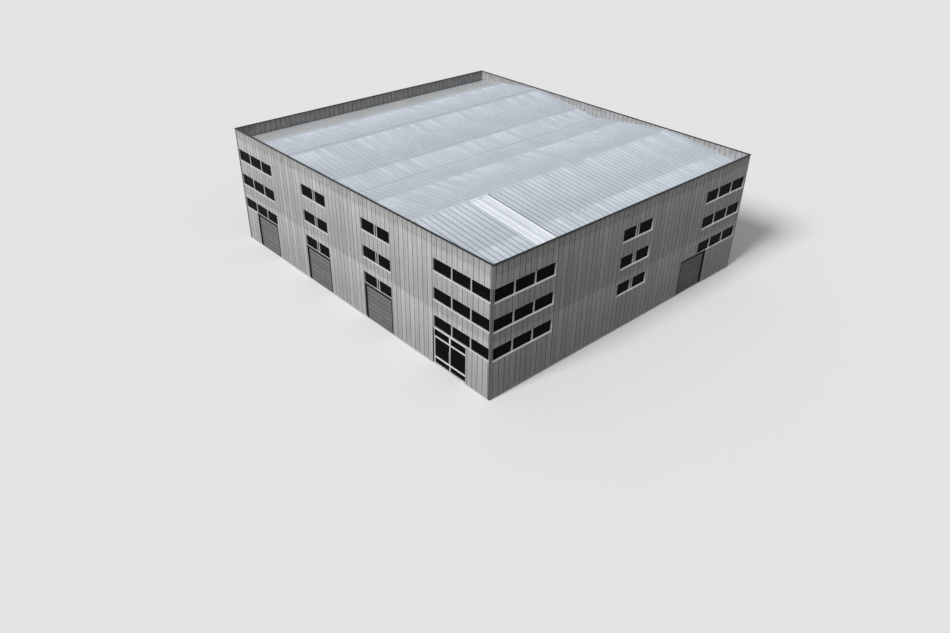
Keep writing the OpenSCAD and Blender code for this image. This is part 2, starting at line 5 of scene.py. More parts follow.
import bmesh
import bpy
from bpy.props import FloatProperty, FloatVectorProperty, IntProperty, PointerProperty
from bpy.types import Operator, Panel, PropertyGroup
from mathutils import Matrix, Vector


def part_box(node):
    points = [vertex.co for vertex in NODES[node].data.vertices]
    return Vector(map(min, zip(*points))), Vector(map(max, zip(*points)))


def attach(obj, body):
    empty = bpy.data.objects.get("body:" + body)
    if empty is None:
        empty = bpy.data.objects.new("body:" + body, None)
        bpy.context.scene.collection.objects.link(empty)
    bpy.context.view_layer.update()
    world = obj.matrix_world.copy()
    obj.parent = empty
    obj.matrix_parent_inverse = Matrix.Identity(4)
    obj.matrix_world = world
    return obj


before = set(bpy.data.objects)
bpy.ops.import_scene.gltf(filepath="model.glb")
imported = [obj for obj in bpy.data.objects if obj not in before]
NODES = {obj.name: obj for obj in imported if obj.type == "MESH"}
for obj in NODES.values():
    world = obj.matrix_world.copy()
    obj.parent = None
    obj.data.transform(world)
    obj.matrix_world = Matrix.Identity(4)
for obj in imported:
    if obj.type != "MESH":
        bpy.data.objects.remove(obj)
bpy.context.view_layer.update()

bl_info = {
    "name": "Factory Building Looks",
    "version": (1, 0, 0),
    "blender": (4, 5, 0),
    "location": "3D View > Sidebar > Factory",
    "description": "Finishes, trims and fixings of a clad factory building, and its studio",
    "category": "Object",
}

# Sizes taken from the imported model

HALF_L, HALF_W, SLAB_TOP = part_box("floor_slab")[1]
CAP_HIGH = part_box("parapet_cap")[1]
CORNER_W = HALF_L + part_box("front_wall_left")[0].x
ROOF_LOW, ROOF_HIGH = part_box("roof_slope_4")
RIDGE_X = ROOF_LOW.x
ROOF_X, ROOF_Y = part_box("roof_gutters")[1].x, ROOF_HIGH.y
SEAM_H, LAP_STEP, SHEET_T, DRIP_GAP = 0.045, 0.014, 0.1, 0.06
EAVE_Z, RIDGE_Z = ROOF_LOW.z + SHEET_T, ROOF_HIGH.z - SEAM_H - LAP_STEP
ROOF_FALL = (RIDGE_Z - EAVE_Z) / (RIDGE_X - DRIP_GAP)
SILL_Z, TOP_HEAD_Z = (corner.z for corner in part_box("front_window_glass"))
FRAME_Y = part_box("front_window_frames")[0].y + HALF_W
ROW_PITCH, WINDOW_H, LEAF_T = 2.61, 1.21, 0.06
SIDES, LONG_SIDES = ("front", "right", "back", "left"), ("front", "back")
QUARTER = math.pi / 2

# Middle of each wall's foot, and its quarter turns from the front
WALL_PLACES = {
    "front": (0, -HALF_W, 0), "right": (HALF_L, 0, 1), "back": (0, HALF_W, 2), "left": (-HALF_L, 0, -1),
}
SHUTTER_NODES = {
    "front": ("front_shutter_1", "front_shutter_2", "front_shutter_3"), "right": ("right_shutter",),
}


def wall_place(side):
    """Turns a wall that is drawn on the XZ plane, outer face towards -Y, to its side of the building."""
    x, y, turns = WALL_PLACES[side]
    return Matrix.Translation((x, y, 0)) @ Matrix.Rotation(turns * QUARTER, 4, "Z")


def box_of(corners):
    """The lowest and the highest corner round some places."""
    spans = list(zip(*corners))
    return Vector([min(span) for span in spans]), Vector([max(span) for span in spans])


def solid_boxes(node):
    """The box of each separate solid in a CAD node."""
    form = bmesh.new()
    form.from_mesh(NODES[node].data)
    bmesh.ops.remove_doubles(form, verts=form.verts, dist=1e-4)
    left, boxes = set(form.verts), []
    while left:
        found = [left.pop()]
        for corner in found:
            for link in corner.link_edges:
                other = link.other_vert(corner)
                if other in left:
                    left.discard(other)
                    found.append(other)
        boxes.append(box_of([corner.co for corner in found]))
    form.free()
    return sorted(boxes, key=lambda box: (round(box[0].z, 3), round(box[0].x, 3), round(box[0].y, 3)))


def on_wall(side, box):
    """A box of the building as it lies in its wall's own drawing."""
    back = wall_place(side).inverted()
    return box_of([back @ corner for corner in box])


WINDOWS = {side: [on_wall(side, box) for box in solid_boxes(f"{side}_window_glass")] for side in SIDES}
SHUTTERS = {side: [on_wall(side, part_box(node)) for node in SHUTTER_NODES.get(side, ())] for side in SIDES}
ENTRANCE = on_wall("front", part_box("entrance_frame"))
DOORWAYS = {**SHUTTERS, "front": [*SHUTTERS["front"], ENTRANCE]}


def free_spans(side, z, margin):
    """Stretches of a wall at one height that no window or doorway interrupts."""
    half = (HALF_L if side in LONG_SIDES else HALF_W) - CORNER_W
    spans = [(-half + margin, half - margin)]
    for low, high in WINDOWS[side] + DOORWAYS[side]:
        if low.z - margin < z < high.z + margin:
            spans = [
                (a, b) for start, end in spans
                for a, b in ((start, min(end, low.x - margin)), (max(start, high.x + margin), end))
                if b - a > margin
            ]
    return spans


def stands_over(window, boxes):
    """Whether a window stands on the head of one of these doorways."""
    low, high = window
    return any(a.x < high.x and b.x > low.x and b.z > low.z - 0.3 for a, b in boxes)


# Sizes and tones that a user may change


def length(name, description, default):
    return FloatProperty(name=name, description=description, default=default, unit="LENGTH")


def tone(name, description, default):
    return FloatVectorProperty(name=name, description=description, default=default, subtype="COLOR")


def level(name, description, default):
    return FloatProperty(name=name, description=description, default=default)


class CladdingLook(PropertyGroup):
    sheet_cover: length("Sheet cover", "Distance between the joints of two sheets", 0.6)
    sheet_length: length("Sheet length", "Height of one row of sheets", 5.8)
    top_lap_z: length("Top lap", "Height of the highest lap between two rows", 11.29)
    fresh_tone: tone("Fresh tone", "Tone under a lap", (0.586, 0.596, 0.616))
    worn_tone: tone("Worn tone", "Tone at a sheet's foot", (0.472, 0.472, 0.469))
    joint_tone: tone("Joint tone", "Tone inside the joints", (0.10, 0.10, 0.10))
    stain_tone: tone("Stain tone", "Tone of the stains", (0.39, 0.39, 0.36))
    screw_pitch: length("Screw pitch", "Distance between two screws in a row", 0.3)
    screw_radius: length("Screw washer radius", "Radius of a screw's washer", 0.013)


class RoofLook(PropertyGroup):
    seam_cover: length("Seam cover", "Distance between two standing seams", 0.6)
    sheet_length: length("Sheet length", "Distance between the laps across the roof", 6.08)
    first_lap_x: length("First lap", "Place of the lap beside the valley", 3.25)
    fresh_tone: tone("Fresh tone", "Tone beside a lap", (0.60, 0.653, 0.717))
    worn_tone: tone("Worn tone", "Tone of the worn sheets", (0.491, 0.537, 0.592))
    stain_tone: tone("Stain tone", "Tone of the dusty strip", (0.44, 0.45, 0.455))


class WindowLook(PropertyGroup):
    rim: length("Frame rim", "Width of a window frame's rim", 0.026)
    wide_bar: length("Corner mullion", "Width of the corner windows' mullions", 0.13)
    pair_bar: length("Paired mullion", "Width of the middle windows' mullions", 0.11)
    slit: length("Slit", "Width of the light between paired mullions", 0.18)
    gasket: length("Gasket", "Face width of the glazing gaskets", 0.016)
    gasket_depth: length("Gasket depth", "Depth of the gaskets on the long sides", 0.03)
    thin_gasket_depth: length("Thin gasket depth", "Depth of the gaskets on the short sides", 0.008)
    drain_front: length("Drain strip", "Depth at which the long sides' drain strips start", 0.072)
    deep_drain_front: length("Deep drain strip", "Depth at which the short sides' ones start", 0.115)
    sill_nose: length("Sill nose", "Distance that a sill stands out from the wall", 0.028)
    sill_apron: length("Sill apron", "Height of a sill's front on the short sides", 0.07)
    low_sill_apron: length("Low sill apron", "Height of a sill's front on the long sides", 0.022)
    door_apron: length("Apron over doors", "Height of a sill's front over a doorway", 0.018)
    # Painted light and shade: the short sides' frames take a lighter copy of the white paint as painted light,
    # the long sides' a darker copy as painted shade.
    frame_tone: tone("Frame tone", "Tone of the short sides' frames", (0.92, 0.92, 0.915))
    shaded_frame_tone: tone("Dusty frame tone", "Tone of the long sides' frames", (0.53, 0.53, 0.525))
    # Painted light: the short sides' sills take a lighter copy of the sill paint.
    sill_tone: tone("Sill tone", "Tone of the short sides' sills", (0.95, 0.95, 0.945))
    long_wall_sill_tone: tone("Dusty sill tone", "Tone of the long sides' sills", (0.76, 0.76, 0.755))
    glass_tone: tone("Glass tone", "Tone of the tinted glass", (0.0018, 0.0026, 0.0031))
    # Painted light: the short sides' linings take a lighter copy of the lining paint.
    lining_tone: tone("Lining tone", "Tone of the short sides' linings", (0.94, 0.94, 0.93))
    long_wall_lining_tone: tone("Dusty lining tone", "Tone of the long sides' linings", (0.78, 0.78, 0.77))


class DoorLook(PropertyGroup):
    panels: IntProperty(
        name="Panels", description="Number of panels in a roller door's height", default=7, min=1
    )
    leaf_tone: tone("Door tone", "Tone of the door panels", (0.162, 0.162, 0.165))
    entrance_tone: tone("Entrance tone", "Tone of the entrance's frame and leaves", (0.80, 0.80, 0.795))
    surround_tone: tone("Surround tone", "Tone of the surrounds", (0.016, 0.017, 0.018))
    seal_height: length("Seal height", "Height of the rubber foot seals", 0.05)
    guide_width: length("Guide width", "Face width of the side guides", 0.07)


class StudioLook(PropertyGroup):
    sun_strength: level("Key light", "Strength of the key light", 2.80)
    sun_softness: FloatProperty(
        name="Key softness", description="Angle of the key light", default=math.radians(18), subtype="ANGLE"
    )
    sky_level: level("Fill level", "Level of the light from all round", 0.33)
    floor_tone: level("Floor tone", "Tone of the floor", 0.86)
    floor_bounce: level("Floor bounce", "Tone with which the floor lights the building", 0.07)
    lens: level("Lens", "Focal length on a 36 mm sensor", 29.89)


# Finishes, made node by node on Object coordinates


class Nodes:
    """Adds nodes to a tree. The methods return sockets that feed the next ones."""

    def __init__(self, tree):
        self.tree = tree

    def feed(self, socket, value):
        if isinstance(value, bpy.types.NodeSocket):
            self.tree.links.new(value, socket)
        elif hasattr(value, "__len__") and len(value) == 3 and socket.type == "RGBA":
            socket.default_value = (*value, 1)
        else:
            socket.default_value = value

    def add(self, kind, inputs, output=0, **settings):
        """Adds a node, gives it its settings and inputs, and returns one output."""
        node = self.tree.nodes.new(f"ShaderNode{kind}")
        for name, value in settings.items():
            setattr(node, name, value)
        for key, value in inputs.items():
            self.feed(node.inputs[key], value)
        return node.outputs[output]

    def calc(self, operation, *values):
        return self.add("Math", dict(enumerate(values)), operation=operation)

    def times(self, first, *others):
        """The product of several numbers."""
        for other in others:
            first = self.calc("MULTIPLY", first, other)
        return first

    def fade(self, value, low, high, at_low=0, at_high=1):
        """A value brought from one range to another, held at the ends."""
        return self.add("MapRange", dict(enumerate((value, low, high, at_low, at_high))))

    def between(self, share, at_none, at_full):
        """A number that follows a share."""
        return self.fade(share, 0, 1, at_none, at_full)

    def seen(self):
        """One for rays from the camera and for reflections, nothing for the light's own bounces."""
        rays = self.tree.nodes.new("ShaderNodeLightPath").outputs
        found = self.calc("MAXIMUM", rays["Is Camera Ray"], rays["Is Glossy Ray"])
        return self.calc("MAXIMUM", found, rays["Is Transmission Ray"])


class Finish(Nodes):
    """Builds one material from its place on the building."""

    def __init__(self, metallic=0.0, specular=0.3):
        self.material = bpy.data.materials.new("finish")
        self.material.use_nodes = True
        super().__init__(self.material.node_tree)
        self.shader = self.tree.nodes["Principled BSDF"]
        self.shader.inputs["Metallic"].default_value = metallic
        self.shader.inputs["Specular IOR Level"].default_value = specular
        self.place = self.add("TexCoord", {}, "Object")
        split = self.tree.nodes.new("ShaderNodeSeparateXYZ")
        self.tree.links.new(self.place, split.inputs[0])
        self.x, self.y, self.z = split.outputs

    def noise(self, size, detail=3, stretch=(1, 1, 1)):
        """Cloudy pattern whose patches are about size metres wide, times the stretch along each axis."""
        scale = [1 / (size * s) for s in stretch]
        place = self.add("Mapping", {"Vector": self.place, "Scale": scale})
        return self.add("TexNoise", {"Vector": place, "Scale": 1, "Detail": detail, "Roughness": 0.55})

    def cloud(self, size, low, high, detail=3, stretch=(1, 1, 1)):
        """Cloudy pattern between two numbers."""
        return self.fade(self.noise(size, detail, stretch), 0.3, 0.7, low, high)

    def cells(self, size):
        """Small crystals, as on galvanised sheet."""
        return self.add("TexVoronoi", {"Vector": self.place, "Scale": 1 / size}, "Distance")

    def chance(self, value):
        """A fixed random number for each whole value."""
        return self.add("TexWhiteNoise", {"W": value}, "Value", noise_dimensions="1D")

    def steps(self, value, pitch, phase):
        """Whole number of the sheet or board that a place lies on."""
        return self.calc("FLOOR", self.calc("DIVIDE", self.calc("SUBTRACT", value, phase), pitch))

    def travel(self, value, pitch, phase):
        """Distance from the last step, from nothing to the pitch."""
        return self.calc("FLOORED_MODULO", self.calc("SUBTRACT", value, phase), pitch)

    def line(self, value, pitch, phase, half_width, soft):
        """One on the lines that repeat at a pitch, nothing between them."""
        distance = self.calc("PINGPONG", self.calc("SUBTRACT", value, phase), pitch / 2)
        return self.fade(distance, half_width, half_width + soft, 1, 0)

    def band(self, value, low, high, soft):
        """One between two values, with soft ends."""
        rise = self.fade(value, low - soft, low + soft)
        return self.times(rise, self.fade(value, high - soft, high + soft, 1, 0))

    def away(self, value):
        """Distance from the middle of the building."""
        return self.calc("ABSOLUTE", value)

    def blend(self, share, a, b):
        return self.add("Mix", {0: share, 6: a, 7: b}, 2, data_type="RGBA")

    def shade(self, colour, amount):
        """A colour times a number."""
        return self.add("VectorMath", {0: colour, "Scale": amount}, operation="SCALE")

    def done(self, colour, roughness, height=None, depth=0.002):
        """Ends the material with its colour, its roughness and, where given, a relief in metres."""
        self.feed(self.shader.inputs["Base Color"], colour)
        self.feed(self.shader.inputs["Roughness"], roughness)
        if height is not None:
            relief = self.add("Bump", {"Strength": 0.6, "Distance": depth, "Height": height})
            self.feed(self.shader.inputs["Normal"], relief)
        return self.material


# Half width and softness of the dark line in a joint
JOINT = (0.024, 0.012)
CHALK = (0.42, 0.42, 0.40)


def cladding_finish(look, along_x, joint_phase):
    """Weathered ribbed sheet: rows of sheets with bright heads, dark joints, streaks, stains and painted shade
    under the cap.
    """
    f = Finish(specular=0.25)
    run = f.x if along_x else f.y
    cover, top_lap = look.sheet_cover, look.top_lap_z
    streak_stretch = (0.1, 4, 6) if along_x else (4, 0.1, 6)
    wide_stretch = (0.5, 4, 4) if along_x else (4, 0.5, 4)
    drift = f.cloud(0.45, -0.22, 0.22, stretch=(1, 1, 2))
    below_lap = f.travel(f.calc("SUBTRACT", top_lap, f.calc("ADD", f.z, drift)), look.sheet_length, 0)
    fresh = f.calc("MINIMUM", f.fade(below_lap, 0.3, 3.7, 1, 0), f.fade(below_lap, 0, 0.4, 0.2, 1))
    colour = f.blend(fresh, look.worn_tone, look.fresh_tone)
    stained = f.times(f.fade(below_lap, 4.4, 5.6, 0.15, 0.5), f.fade(f.noise(0.7), 0.45, 0.62))
    colour = f.blend(stained, colour, look.stain_tone)
    colour = f.shade(colour, f.times(
        f.between(f.chance(f.steps(run, cover, joint_phase)), 0.90, 1.07),
        f.between(f.chance(f.steps(run, cover / 4, joint_phase)), 0.95, 1.04),
        f.cloud(0.5, 0.86, 1.10, 4, streak_stretch),
        f.cloud(1.1, 0.95, 1.05, 2, wide_stretch),
        f.fade(f.z, 0, 9, 0.93, 1),
        f.fade(f.z, 0, 0.3, 0.96, 1),
        # Painted shade under the parapet cap: darker over the top 0.4 m.
        f.fade(f.z, 11.6, 12, 1, 0.88),
        f.fade(f.z, top_lap - 0.2, top_lap + 0.1, 1, 1.04),
    ))
    joint = f.line(run, cover, joint_phase, *JOINT)
    faint = f.line(run, cover, joint_phase + cover / 2, 0.006, 0.010)
    lap = f.line(f.z, look.sheet_length, top_lap, 0.010, 0.012)
    colour = f.blend(f.times(joint, 0.8), colour, look.joint_tone)
    colour = f.blend(f.times(f.calc("MAXIMUM", faint, lap), 0.5), colour, look.joint_tone)
    relief = f.calc("ADD", f.times(f.noise(0.05), 0.5), f.times(f.cells(0.03), 0.2))
    relief = f.calc("SUBTRACT", relief, f.times(faint, 1.5))
    return f.done(colour, f.cloud(0.35, 0.48, 0.68), relief)


def roof_finish(look):
    """Silver roof sheets: rows that are bright beside their laps, painted shade beside the seams, a dusty strip
    and a newer run.
    """
    f = Finish()
    cover, seam_phase = look.seam_cover, look.seam_cover / 2
    past_lap = f.travel(f.x, look.sheet_length, look.first_lap_x)
    fresh = f.calc("MINIMUM", f.fade(past_lap, 0, 4.7, 1, 0), f.fade(past_lap, 0, 0.15))
    row = f.steps(f.x, look.sheet_length, look.first_lap_x)
    sheet = f.chance(f.calc("ADD", f.steps(f.y, cover, seam_phase), f.times(row, 37)))
    colour = f.blend(fresh, look.worn_tone, look.fresh_tone)
    dusty = f.times(f.fade(f.x, -16.5, -15.1, 1, 0), f.fade(f.noise(1.2), 0.25, 0.55, 0.6, 1))
    colour = f.blend(dusty, colour, look.stain_tone)
    comb = f.times(f.calc("SUBTRACT", sheet, 0.5), f.calc("POWER", fresh, 2))
    amount = f.calc("ADD", f.calc("ADD", 1, f.times(comb, 0.27)), f.cloud(2.4, -0.04, 0.04, 2))
    amount = f.calc("ADD", amount, f.cloud(0.25, -0.05, 0.05, 4, (8, 0.4, 1)))
    last_slope = f.fade(f.x, RIDGE_X - 0.05, RIDGE_X + 0.05)
    colour = f.shade(colour, f.times(amount, f.between(last_slope, 1, 1.08)))
    # Painted shade: a dark line beside each standing seam, strongest on the last slope towards the front and
    # left out on the newer run.
    seam_shade = f.line(f.y, cover, seam_phase, 0.018, 0.020)
    newer_low, newer_high = -10.65, -8.55
    newer = f.times(f.band(f.y, newer_low, newer_high, 0.04), last_slope)
    seam_shade_strength = f.between(last_slope, 0.22, f.fade(f.y, -14, 12, 0.6, 0.35))
    seam_shade_strength = f.times(seam_shade_strength, f.calc("SUBTRACT", 1, newer))
    colour = f.blend(f.times(seam_shade, seam_shade_strength), colour, (0.06, 0.065, 0.07))
    greyer = f.times(f.band(f.y, newer_low + 1.03, newer_high - 0.73, 0.12), 0.55)
    colour = f.blend(f.times(newer, f.calc("SUBTRACT", 0.8, greyer)), colour, (0.82, 0.86, 0.91))
    edge = f.times(f.band(f.y, newer_high, newer_high + 0.14, 0.03), last_slope)
    colour = f.blend(f.times(edge, 0.8), colour, (0.07, 0.075, 0.08))
    relief = f.calc("ADD", f.times(f.noise(0.09), 0.6), f.times(f.cells(0.03), 0.15))
    return f.done(colour, f.cloud(0.5, 0.38, 0.56), relief)


def lining_finish(look):
    """The parapet's inner sheets: as the cladding, with rain marks under the cap and painted shade on the
    linings along the short sides.
    """
    f = Finish(specular=0.2)
    cover = look.sheet_cover
    across = f.fade(f.away(f.y), ROOF_Y - 0.05, ROOF_Y - 0.01)
    along = f.fade(f.away(f.x), ROOF_X - 0.05, ROOF_X - 0.01)
    colour = f.blend(f.fade(f.noise(0.8), 0.35, 0.65), look.worn_tone, look.fresh_tone)
    runs = f.fade(f.noise(0.18, 4, (0.6, 0.6, 8)), 0.35, 0.65, 0.614, 0.92)
    colour = f.shade(colour, f.times(runs, f.fade(f.z, 11.44, 12.09, 1, 0.84)))
    damp = f.times(f.fade(f.z, 10.89, 11.39, 0.5, 0), f.fade(f.noise(0.4), 0.4, 0.6))
    # Painted shade: the linings along the short sides are painted 19% darker.
    colour = f.shade(f.blend(damp, colour, (0.22, 0.22, 0.19)), f.between(along, 1, 0.81))
    joint = f.calc(
        "MAXIMUM",
        f.times(f.line(f.x, cover, 0, *JOINT), across),
        f.times(f.line(f.y, cover, cover / 2, *JOINT), along),
    )
    colour = f.blend(f.times(joint, 0.8), colour, look.joint_tone)
    return f.done(colour, f.cloud(0.3, 0.5, 0.7), f.noise(0.05))


def cap_finish():
    """Dark coated cap with joints, mitred corners and chalky edges."""
    f = Finish(specular=0.08)
    dark = (0.003, 0.003, 0.003)
    dust = f.fade(f.noise(0.4, 5), 0.4, 0.75)
    colour = f.blend(dust, (0.009, 0.011, 0.014), (0.022, 0.025, 0.029))
    ends = f.calc("MAXIMUM", f.line(f.x, 3, 0.35, 0.004, 0.006), f.line(f.y, 3, 0.8, 0.004, 0.006))
    colour = f.blend(ends, colour, dark)
    from_corner = f.calc(
        "SUBTRACT",
        f.calc("SUBTRACT", f.away(f.x), CAP_HIGH.x),
        f.calc("SUBTRACT", f.away(f.y), CAP_HIGH.y),
    )
    colour = f.blend(f.fade(f.away(from_corner), 0.004, 0.012, 1, 0), colour, dark)
    edge = f.fade(f.z, CAP_HIGH.z - 0.012, CAP_HIGH.z - 0.002)
    colour = f.blend(f.times(edge, 0.15), colour, (0.12, 0.13, 0.14))
    return f.done(colour, f.between(dust, 0.34, 0.6), f.noise(0.08), 0.001)


def painted_finish(paint, wear_tone, amount, specular=0.35, lit_short_paint=None):
    """Coated metal with dust, rain marks and small worn patches; a paint given for the short sides is a lighter
    copy there, painted light.
    """
    f = Finish(specular=specular)
    runs = f.fade(f.noise(0.12, 4, (0.5, 0.5, 7)), 0.35, 0.7, 1 - amount, 1)
    # Painted light: the short sides take the lighter short-side paint where one is given.
    lit_short_side = f.fade(f.away(f.y), HALF_W - 0.3, HALF_W - 0.28, 1, 0)
    colour = f.shade(f.blend(lit_short_side, paint, lit_short_paint or paint), runs)
    colour = f.blend(f.times(f.fade(f.noise(0.06, 6), 0.60, 0.70), 0.5), colour, wear_tone)
    return f.done(colour, f.cloud(0.2, 0.32, 0.55), f.noise(0.02), 0.0005)


def corner_finish(look):
    """Corner posts: painted shade on the long sides, near black; cladding tone on the short ones; other levels
    in the window rows and above the windows.
    """
    f = Finish(specular=0.2)
    long_side = f.fade(f.away(f.y), HALF_W - 0.006, HALF_W - 0.002)
    above_windows = f.fade(f.z, TOP_HEAD_Z + 0.02, TOP_HEAD_Z + 0.1)
    in_row = f.fade(f.travel(f.z, ROW_PITCH, SILL_Z), WINDOW_H - 0.02, WINDOW_H + 0.02, 1, 0)
    in_row = f.times(in_row, f.fade(f.z, SILL_Z - 0.02, SILL_Z + 0.02))
    short_level = f.between(above_windows, f.between(in_row, 0.79, 0.52), 1.12)
    painted_shade_level = f.between(above_windows, f.between(in_row, 0.075, 0.10), 0.165)
    # Painted shade: the long sides are painted near black, as if they lay in shade.
    dark = f.shade((1, 1.01, 1.04), painted_shade_level)
    colour = f.blend(long_side, f.shade(look.worn_tone, short_level), dark)
    colour = f.shade(colour, f.fade(f.noise(0.16, 4, (0.6, 0.6, 9)), 0.35, 0.65, 0.88, 1.08))
    colour = f.blend(f.line(f.z, 3, 2.98, 0.003, 0.004), colour, look.joint_tone)
    return f.done(colour, f.cloud(0.3, 0.4, 0.6), f.noise(0.05), 0.001)


def glass_finish(look):
    """Tinted glass: near black, with faint cloudy depth and dust."""
    f = Finish(specular=0.015)
    colour = f.blend(f.cloud(2.2, 0, 1, 2), look.glass_tone, (0.0036, 0.0047, 0.0053))
    dust = f.times(f.fade(f.noise(0.3, 6, (1, 1, 3)), 0.5, 0.8), 0.06)
    colour = f.blend(dust, colour, (0.03, 0.03, 0.03))
    return f.done(colour, f.fade(dust, 0, 0.2, 0.07, 0.2))


def shutter_finish(look, node, shading):
    """Door panels: fine ribs, a lighter upper edge on each panel, splash dirt at the foot, and the whole door
    darkened by the shading factor as painted shade.
    """
    f = Finish()
    low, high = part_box(node)
    panel_h = (high.z - low.z) / look.panels
    up = f.calc("DIVIDE", f.travel(f.z, panel_h, low.z), panel_h)
    colour = f.shade(look.leaf_tone, f.between(up, 0.90, 1.14))
    colour = f.shade(colour, f.between(f.chance(f.steps(f.z, panel_h, low.z)), 0.92, 1.09))
    # Painted shade: the shading factor darkens the whole door.
    colour = f.shade(f.shade(colour, shading), f.cloud(0.35, 0.88, 1.08, 4, (0.6, 0.6, 3)))
    splash = f.times(f.fade(f.z, 0.1, 0.8, 1, 0), f.fade(f.noise(0.25, 5), 0.4, 0.65), 0.6)
    colour = f.blend(splash, colour, (0.11, 0.10, 0.085))
    colour = f.blend(f.line(f.z, panel_h, low.z, 0.018, 0.008), colour, (0.03, 0.03, 0.03))
    ribs = f.line(f.z, panel_h / 6, low.z, 0.006, 0.012)
    colour = f.blend(f.times(ribs, 0.25), colour, (0.05, 0.05, 0.05))
    relief = f.calc("SUBTRACT", f.times(f.noise(0.012, 2), 0.4), ribs)
    return f.done(colour, f.cloud(0.3, 0.42, 0.6), relief, 0.003)


def concrete_finish():
    """Trowelled concrete with pores, patches and hairlines."""
    f = Finish(specular=0.2)
    colour = f.blend(f.cloud(1.6, 0, 1, 5), (0.36, 0.36, 0.35), (0.46, 0.455, 0.44))
    colour = f.blend(f.fade(f.noise(0.02, 2), 0.66, 0.74), colour, (0.14, 0.14, 0.13))
    joint = f.calc("MAXIMUM", f.line(f.x, 6.2, 3.1, 0.004, 0.006), f.line(f.y, 5.6, 0, 0.004, 0.006))
    colour = f.blend(f.times(joint, 0.7), colour, (0.08, 0.08, 0.08))
    return f.done(colour, f.cloud(0.7, 0.6, 0.85), f.noise(0.03, 5))


def steel_finish(primer, rust):
    """Primed steel with mill marks and a little rust."""
    f = Finish(metallic=0.1, specular=0.35)
    colour = f.blend(f.cloud(0.5, 0, 1, 5), primer, [c * 1.25 for c in primer])
    spots = f.times(f.fade(f.noise(0.1, 6), 0.60, 0.70), rust)
    colour = f.blend(spots, colour, (0.17, 0.075, 0.035))
    return f.done(colour, f.between(spots, 0.45, 0.8), f.noise(0.04), 0.001)


def zinc_finish(zinc):
    """Bare zinc-coated metal with spangle and grey bloom."""
    f = Finish(metallic=0.35, specular=0.4)
    spangle = f.fade(f.cells(0.025), 0, 0.7, 0.92, 1.08)
    bloom = f.fade(f.noise(0.3, 5), 0.35, 0.65, 0.82, 1.08)
    colour = f.shade(zinc, f.times(spangle, bloom))
    return f.done(colour, f.cloud(0.2, 0.36, 0.55), f.cells(0.025), 0.0003)


def guard_finish(look):
    """Perforated zinc strip: rows of small round holes between bare margins."""
    f = Finish()
    squares = [f.calc("POWER", f.calc("PINGPONG", axis, 0.008), 2) for axis in (f.x, f.y)]
    hole = f.fade(f.calc("SQRT", f.calc("ADD", *squares)), 0.0028, 0.0036, 1, 0)
    colour = f.shade(look.worn_tone, f.fade(f.noise(0.3, 5), 0.35, 0.65, 0.88, 1.06))
    colour = f.blend(hole, colour, (0.05, 0.05, 0.05))
    return f.done(colour, f.cloud(0.2, 0.4, 0.6), f.calc("SUBTRACT", 1, hole), 0.001)


def rubber_finish():
    """Black rubber with a dusty bloom."""
    f = Finish(specular=0.2)
    colour = f.blend(f.fade(f.noise(0.05, 5), 0.45, 0.7), (0.012, 0.012, 0.012), (0.045, 0.045, 0.043))
    return f.done(colour, f.cloud(0.04, 0.6, 0.85), f.noise(0.006), 0.0005)


MAKERS = {
    "cladding_long": lambda s: cladding_finish(s.cladding_look, True, 0.0),
    "cladding_short": lambda s: cladding_finish(s.cladding_look, False, 0.3),
    "roof_sheet": lambda s: roof_finish(s.roof_look),
    "parapet_sheet": lambda s: lining_finish(s.cladding_look),
    "cap_coat": lambda s: cap_finish(),
    "corner_post": lambda s: corner_finish(s.cladding_look),
    # The short sides' frame and sill paints are lighter copies, as painted light; the long sides' frames take a
    # darker copy, as painted shade.
    "frame_paint": lambda s: painted_finish(s.window_look.frame_tone, CHALK, 0.12),
    "shaded_frame_paint": lambda s: painted_finish(s.window_look.shaded_frame_tone, (0.36, 0.36, 0.34), 0.14),
    "sill_paint": lambda s: painted_finish(s.window_look.sill_tone, CHALK, 0.12),
    "long_wall_sill_paint": lambda s: painted_finish(s.window_look.long_wall_sill_tone, CHALK, 0.12),
    "entrance_paint": lambda s: painted_finish(s.door_look.entrance_tone, CHALK, 0.14),
    # The short sides' linings take the lighter copy, as painted light.
    "lining_paint": lambda s: painted_finish(
        s.window_look.long_wall_lining_tone, CHALK, 0.12, lit_short_paint=s.window_look.lining_tone
    ),
    "flashing_coat": lambda s: painted_finish(s.cladding_look.worn_tone, (0.34, 0.34, 0.33), 0.12),
    "tinted_glass": lambda s: glass_finish(s.window_look),
    "surround_coat": lambda s: painted_finish(s.door_look.surround_tone, (0.05, 0.05, 0.05), 0.35, 0.05),
    "shutter_panel": lambda s: shutter_finish(s.door_look, "front_shutter_1", 1),
    # The right wall's door is a copy painted 30% darker, as painted shade.
    "shaded_shutter_panel": lambda s: shutter_finish(s.door_look, "right_shutter", 0.70),
    "concrete": lambda s: concrete_finish(),
    "frame_steel": lambda s: steel_finish((0.13, 0.14, 0.15), 0.5),
    "wall_core": lambda s: painted_finish((0.55, 0.55, 0.54), (0.35, 0.35, 0.33), 0.10),
    "gutter_zinc": lambda s: zinc_finish((0.50, 0.53, 0.56)),
    "guard_mesh": lambda s: guard_finish(s.roof_look),
    "trim_zinc": lambda s: zinc_finish((0.56, 0.57, 0.58)),
    "handle_steel": lambda s: zinc_finish((0.42, 0.42, 0.43)),
    "rubber": lambda s: rubber_finish(),
}
FINISHES = {}


def finish(name):
    """A finish by name, made when it is first asked for."""
    if name not in FINISHES:
        FINISHES[name] = MAKERS[name](bpy.context.scene)
        FINISHES[name].name = name
    return FINISHES[name]


def dress(finish_name, *nodes):
    """Gives CAD nodes their finish."""
    for node in nodes:
        mesh = NODES[node].data
        mesh.materials.clear()
        mesh.materials.append(finish(finish_name))


# Modelling by hand, step by step


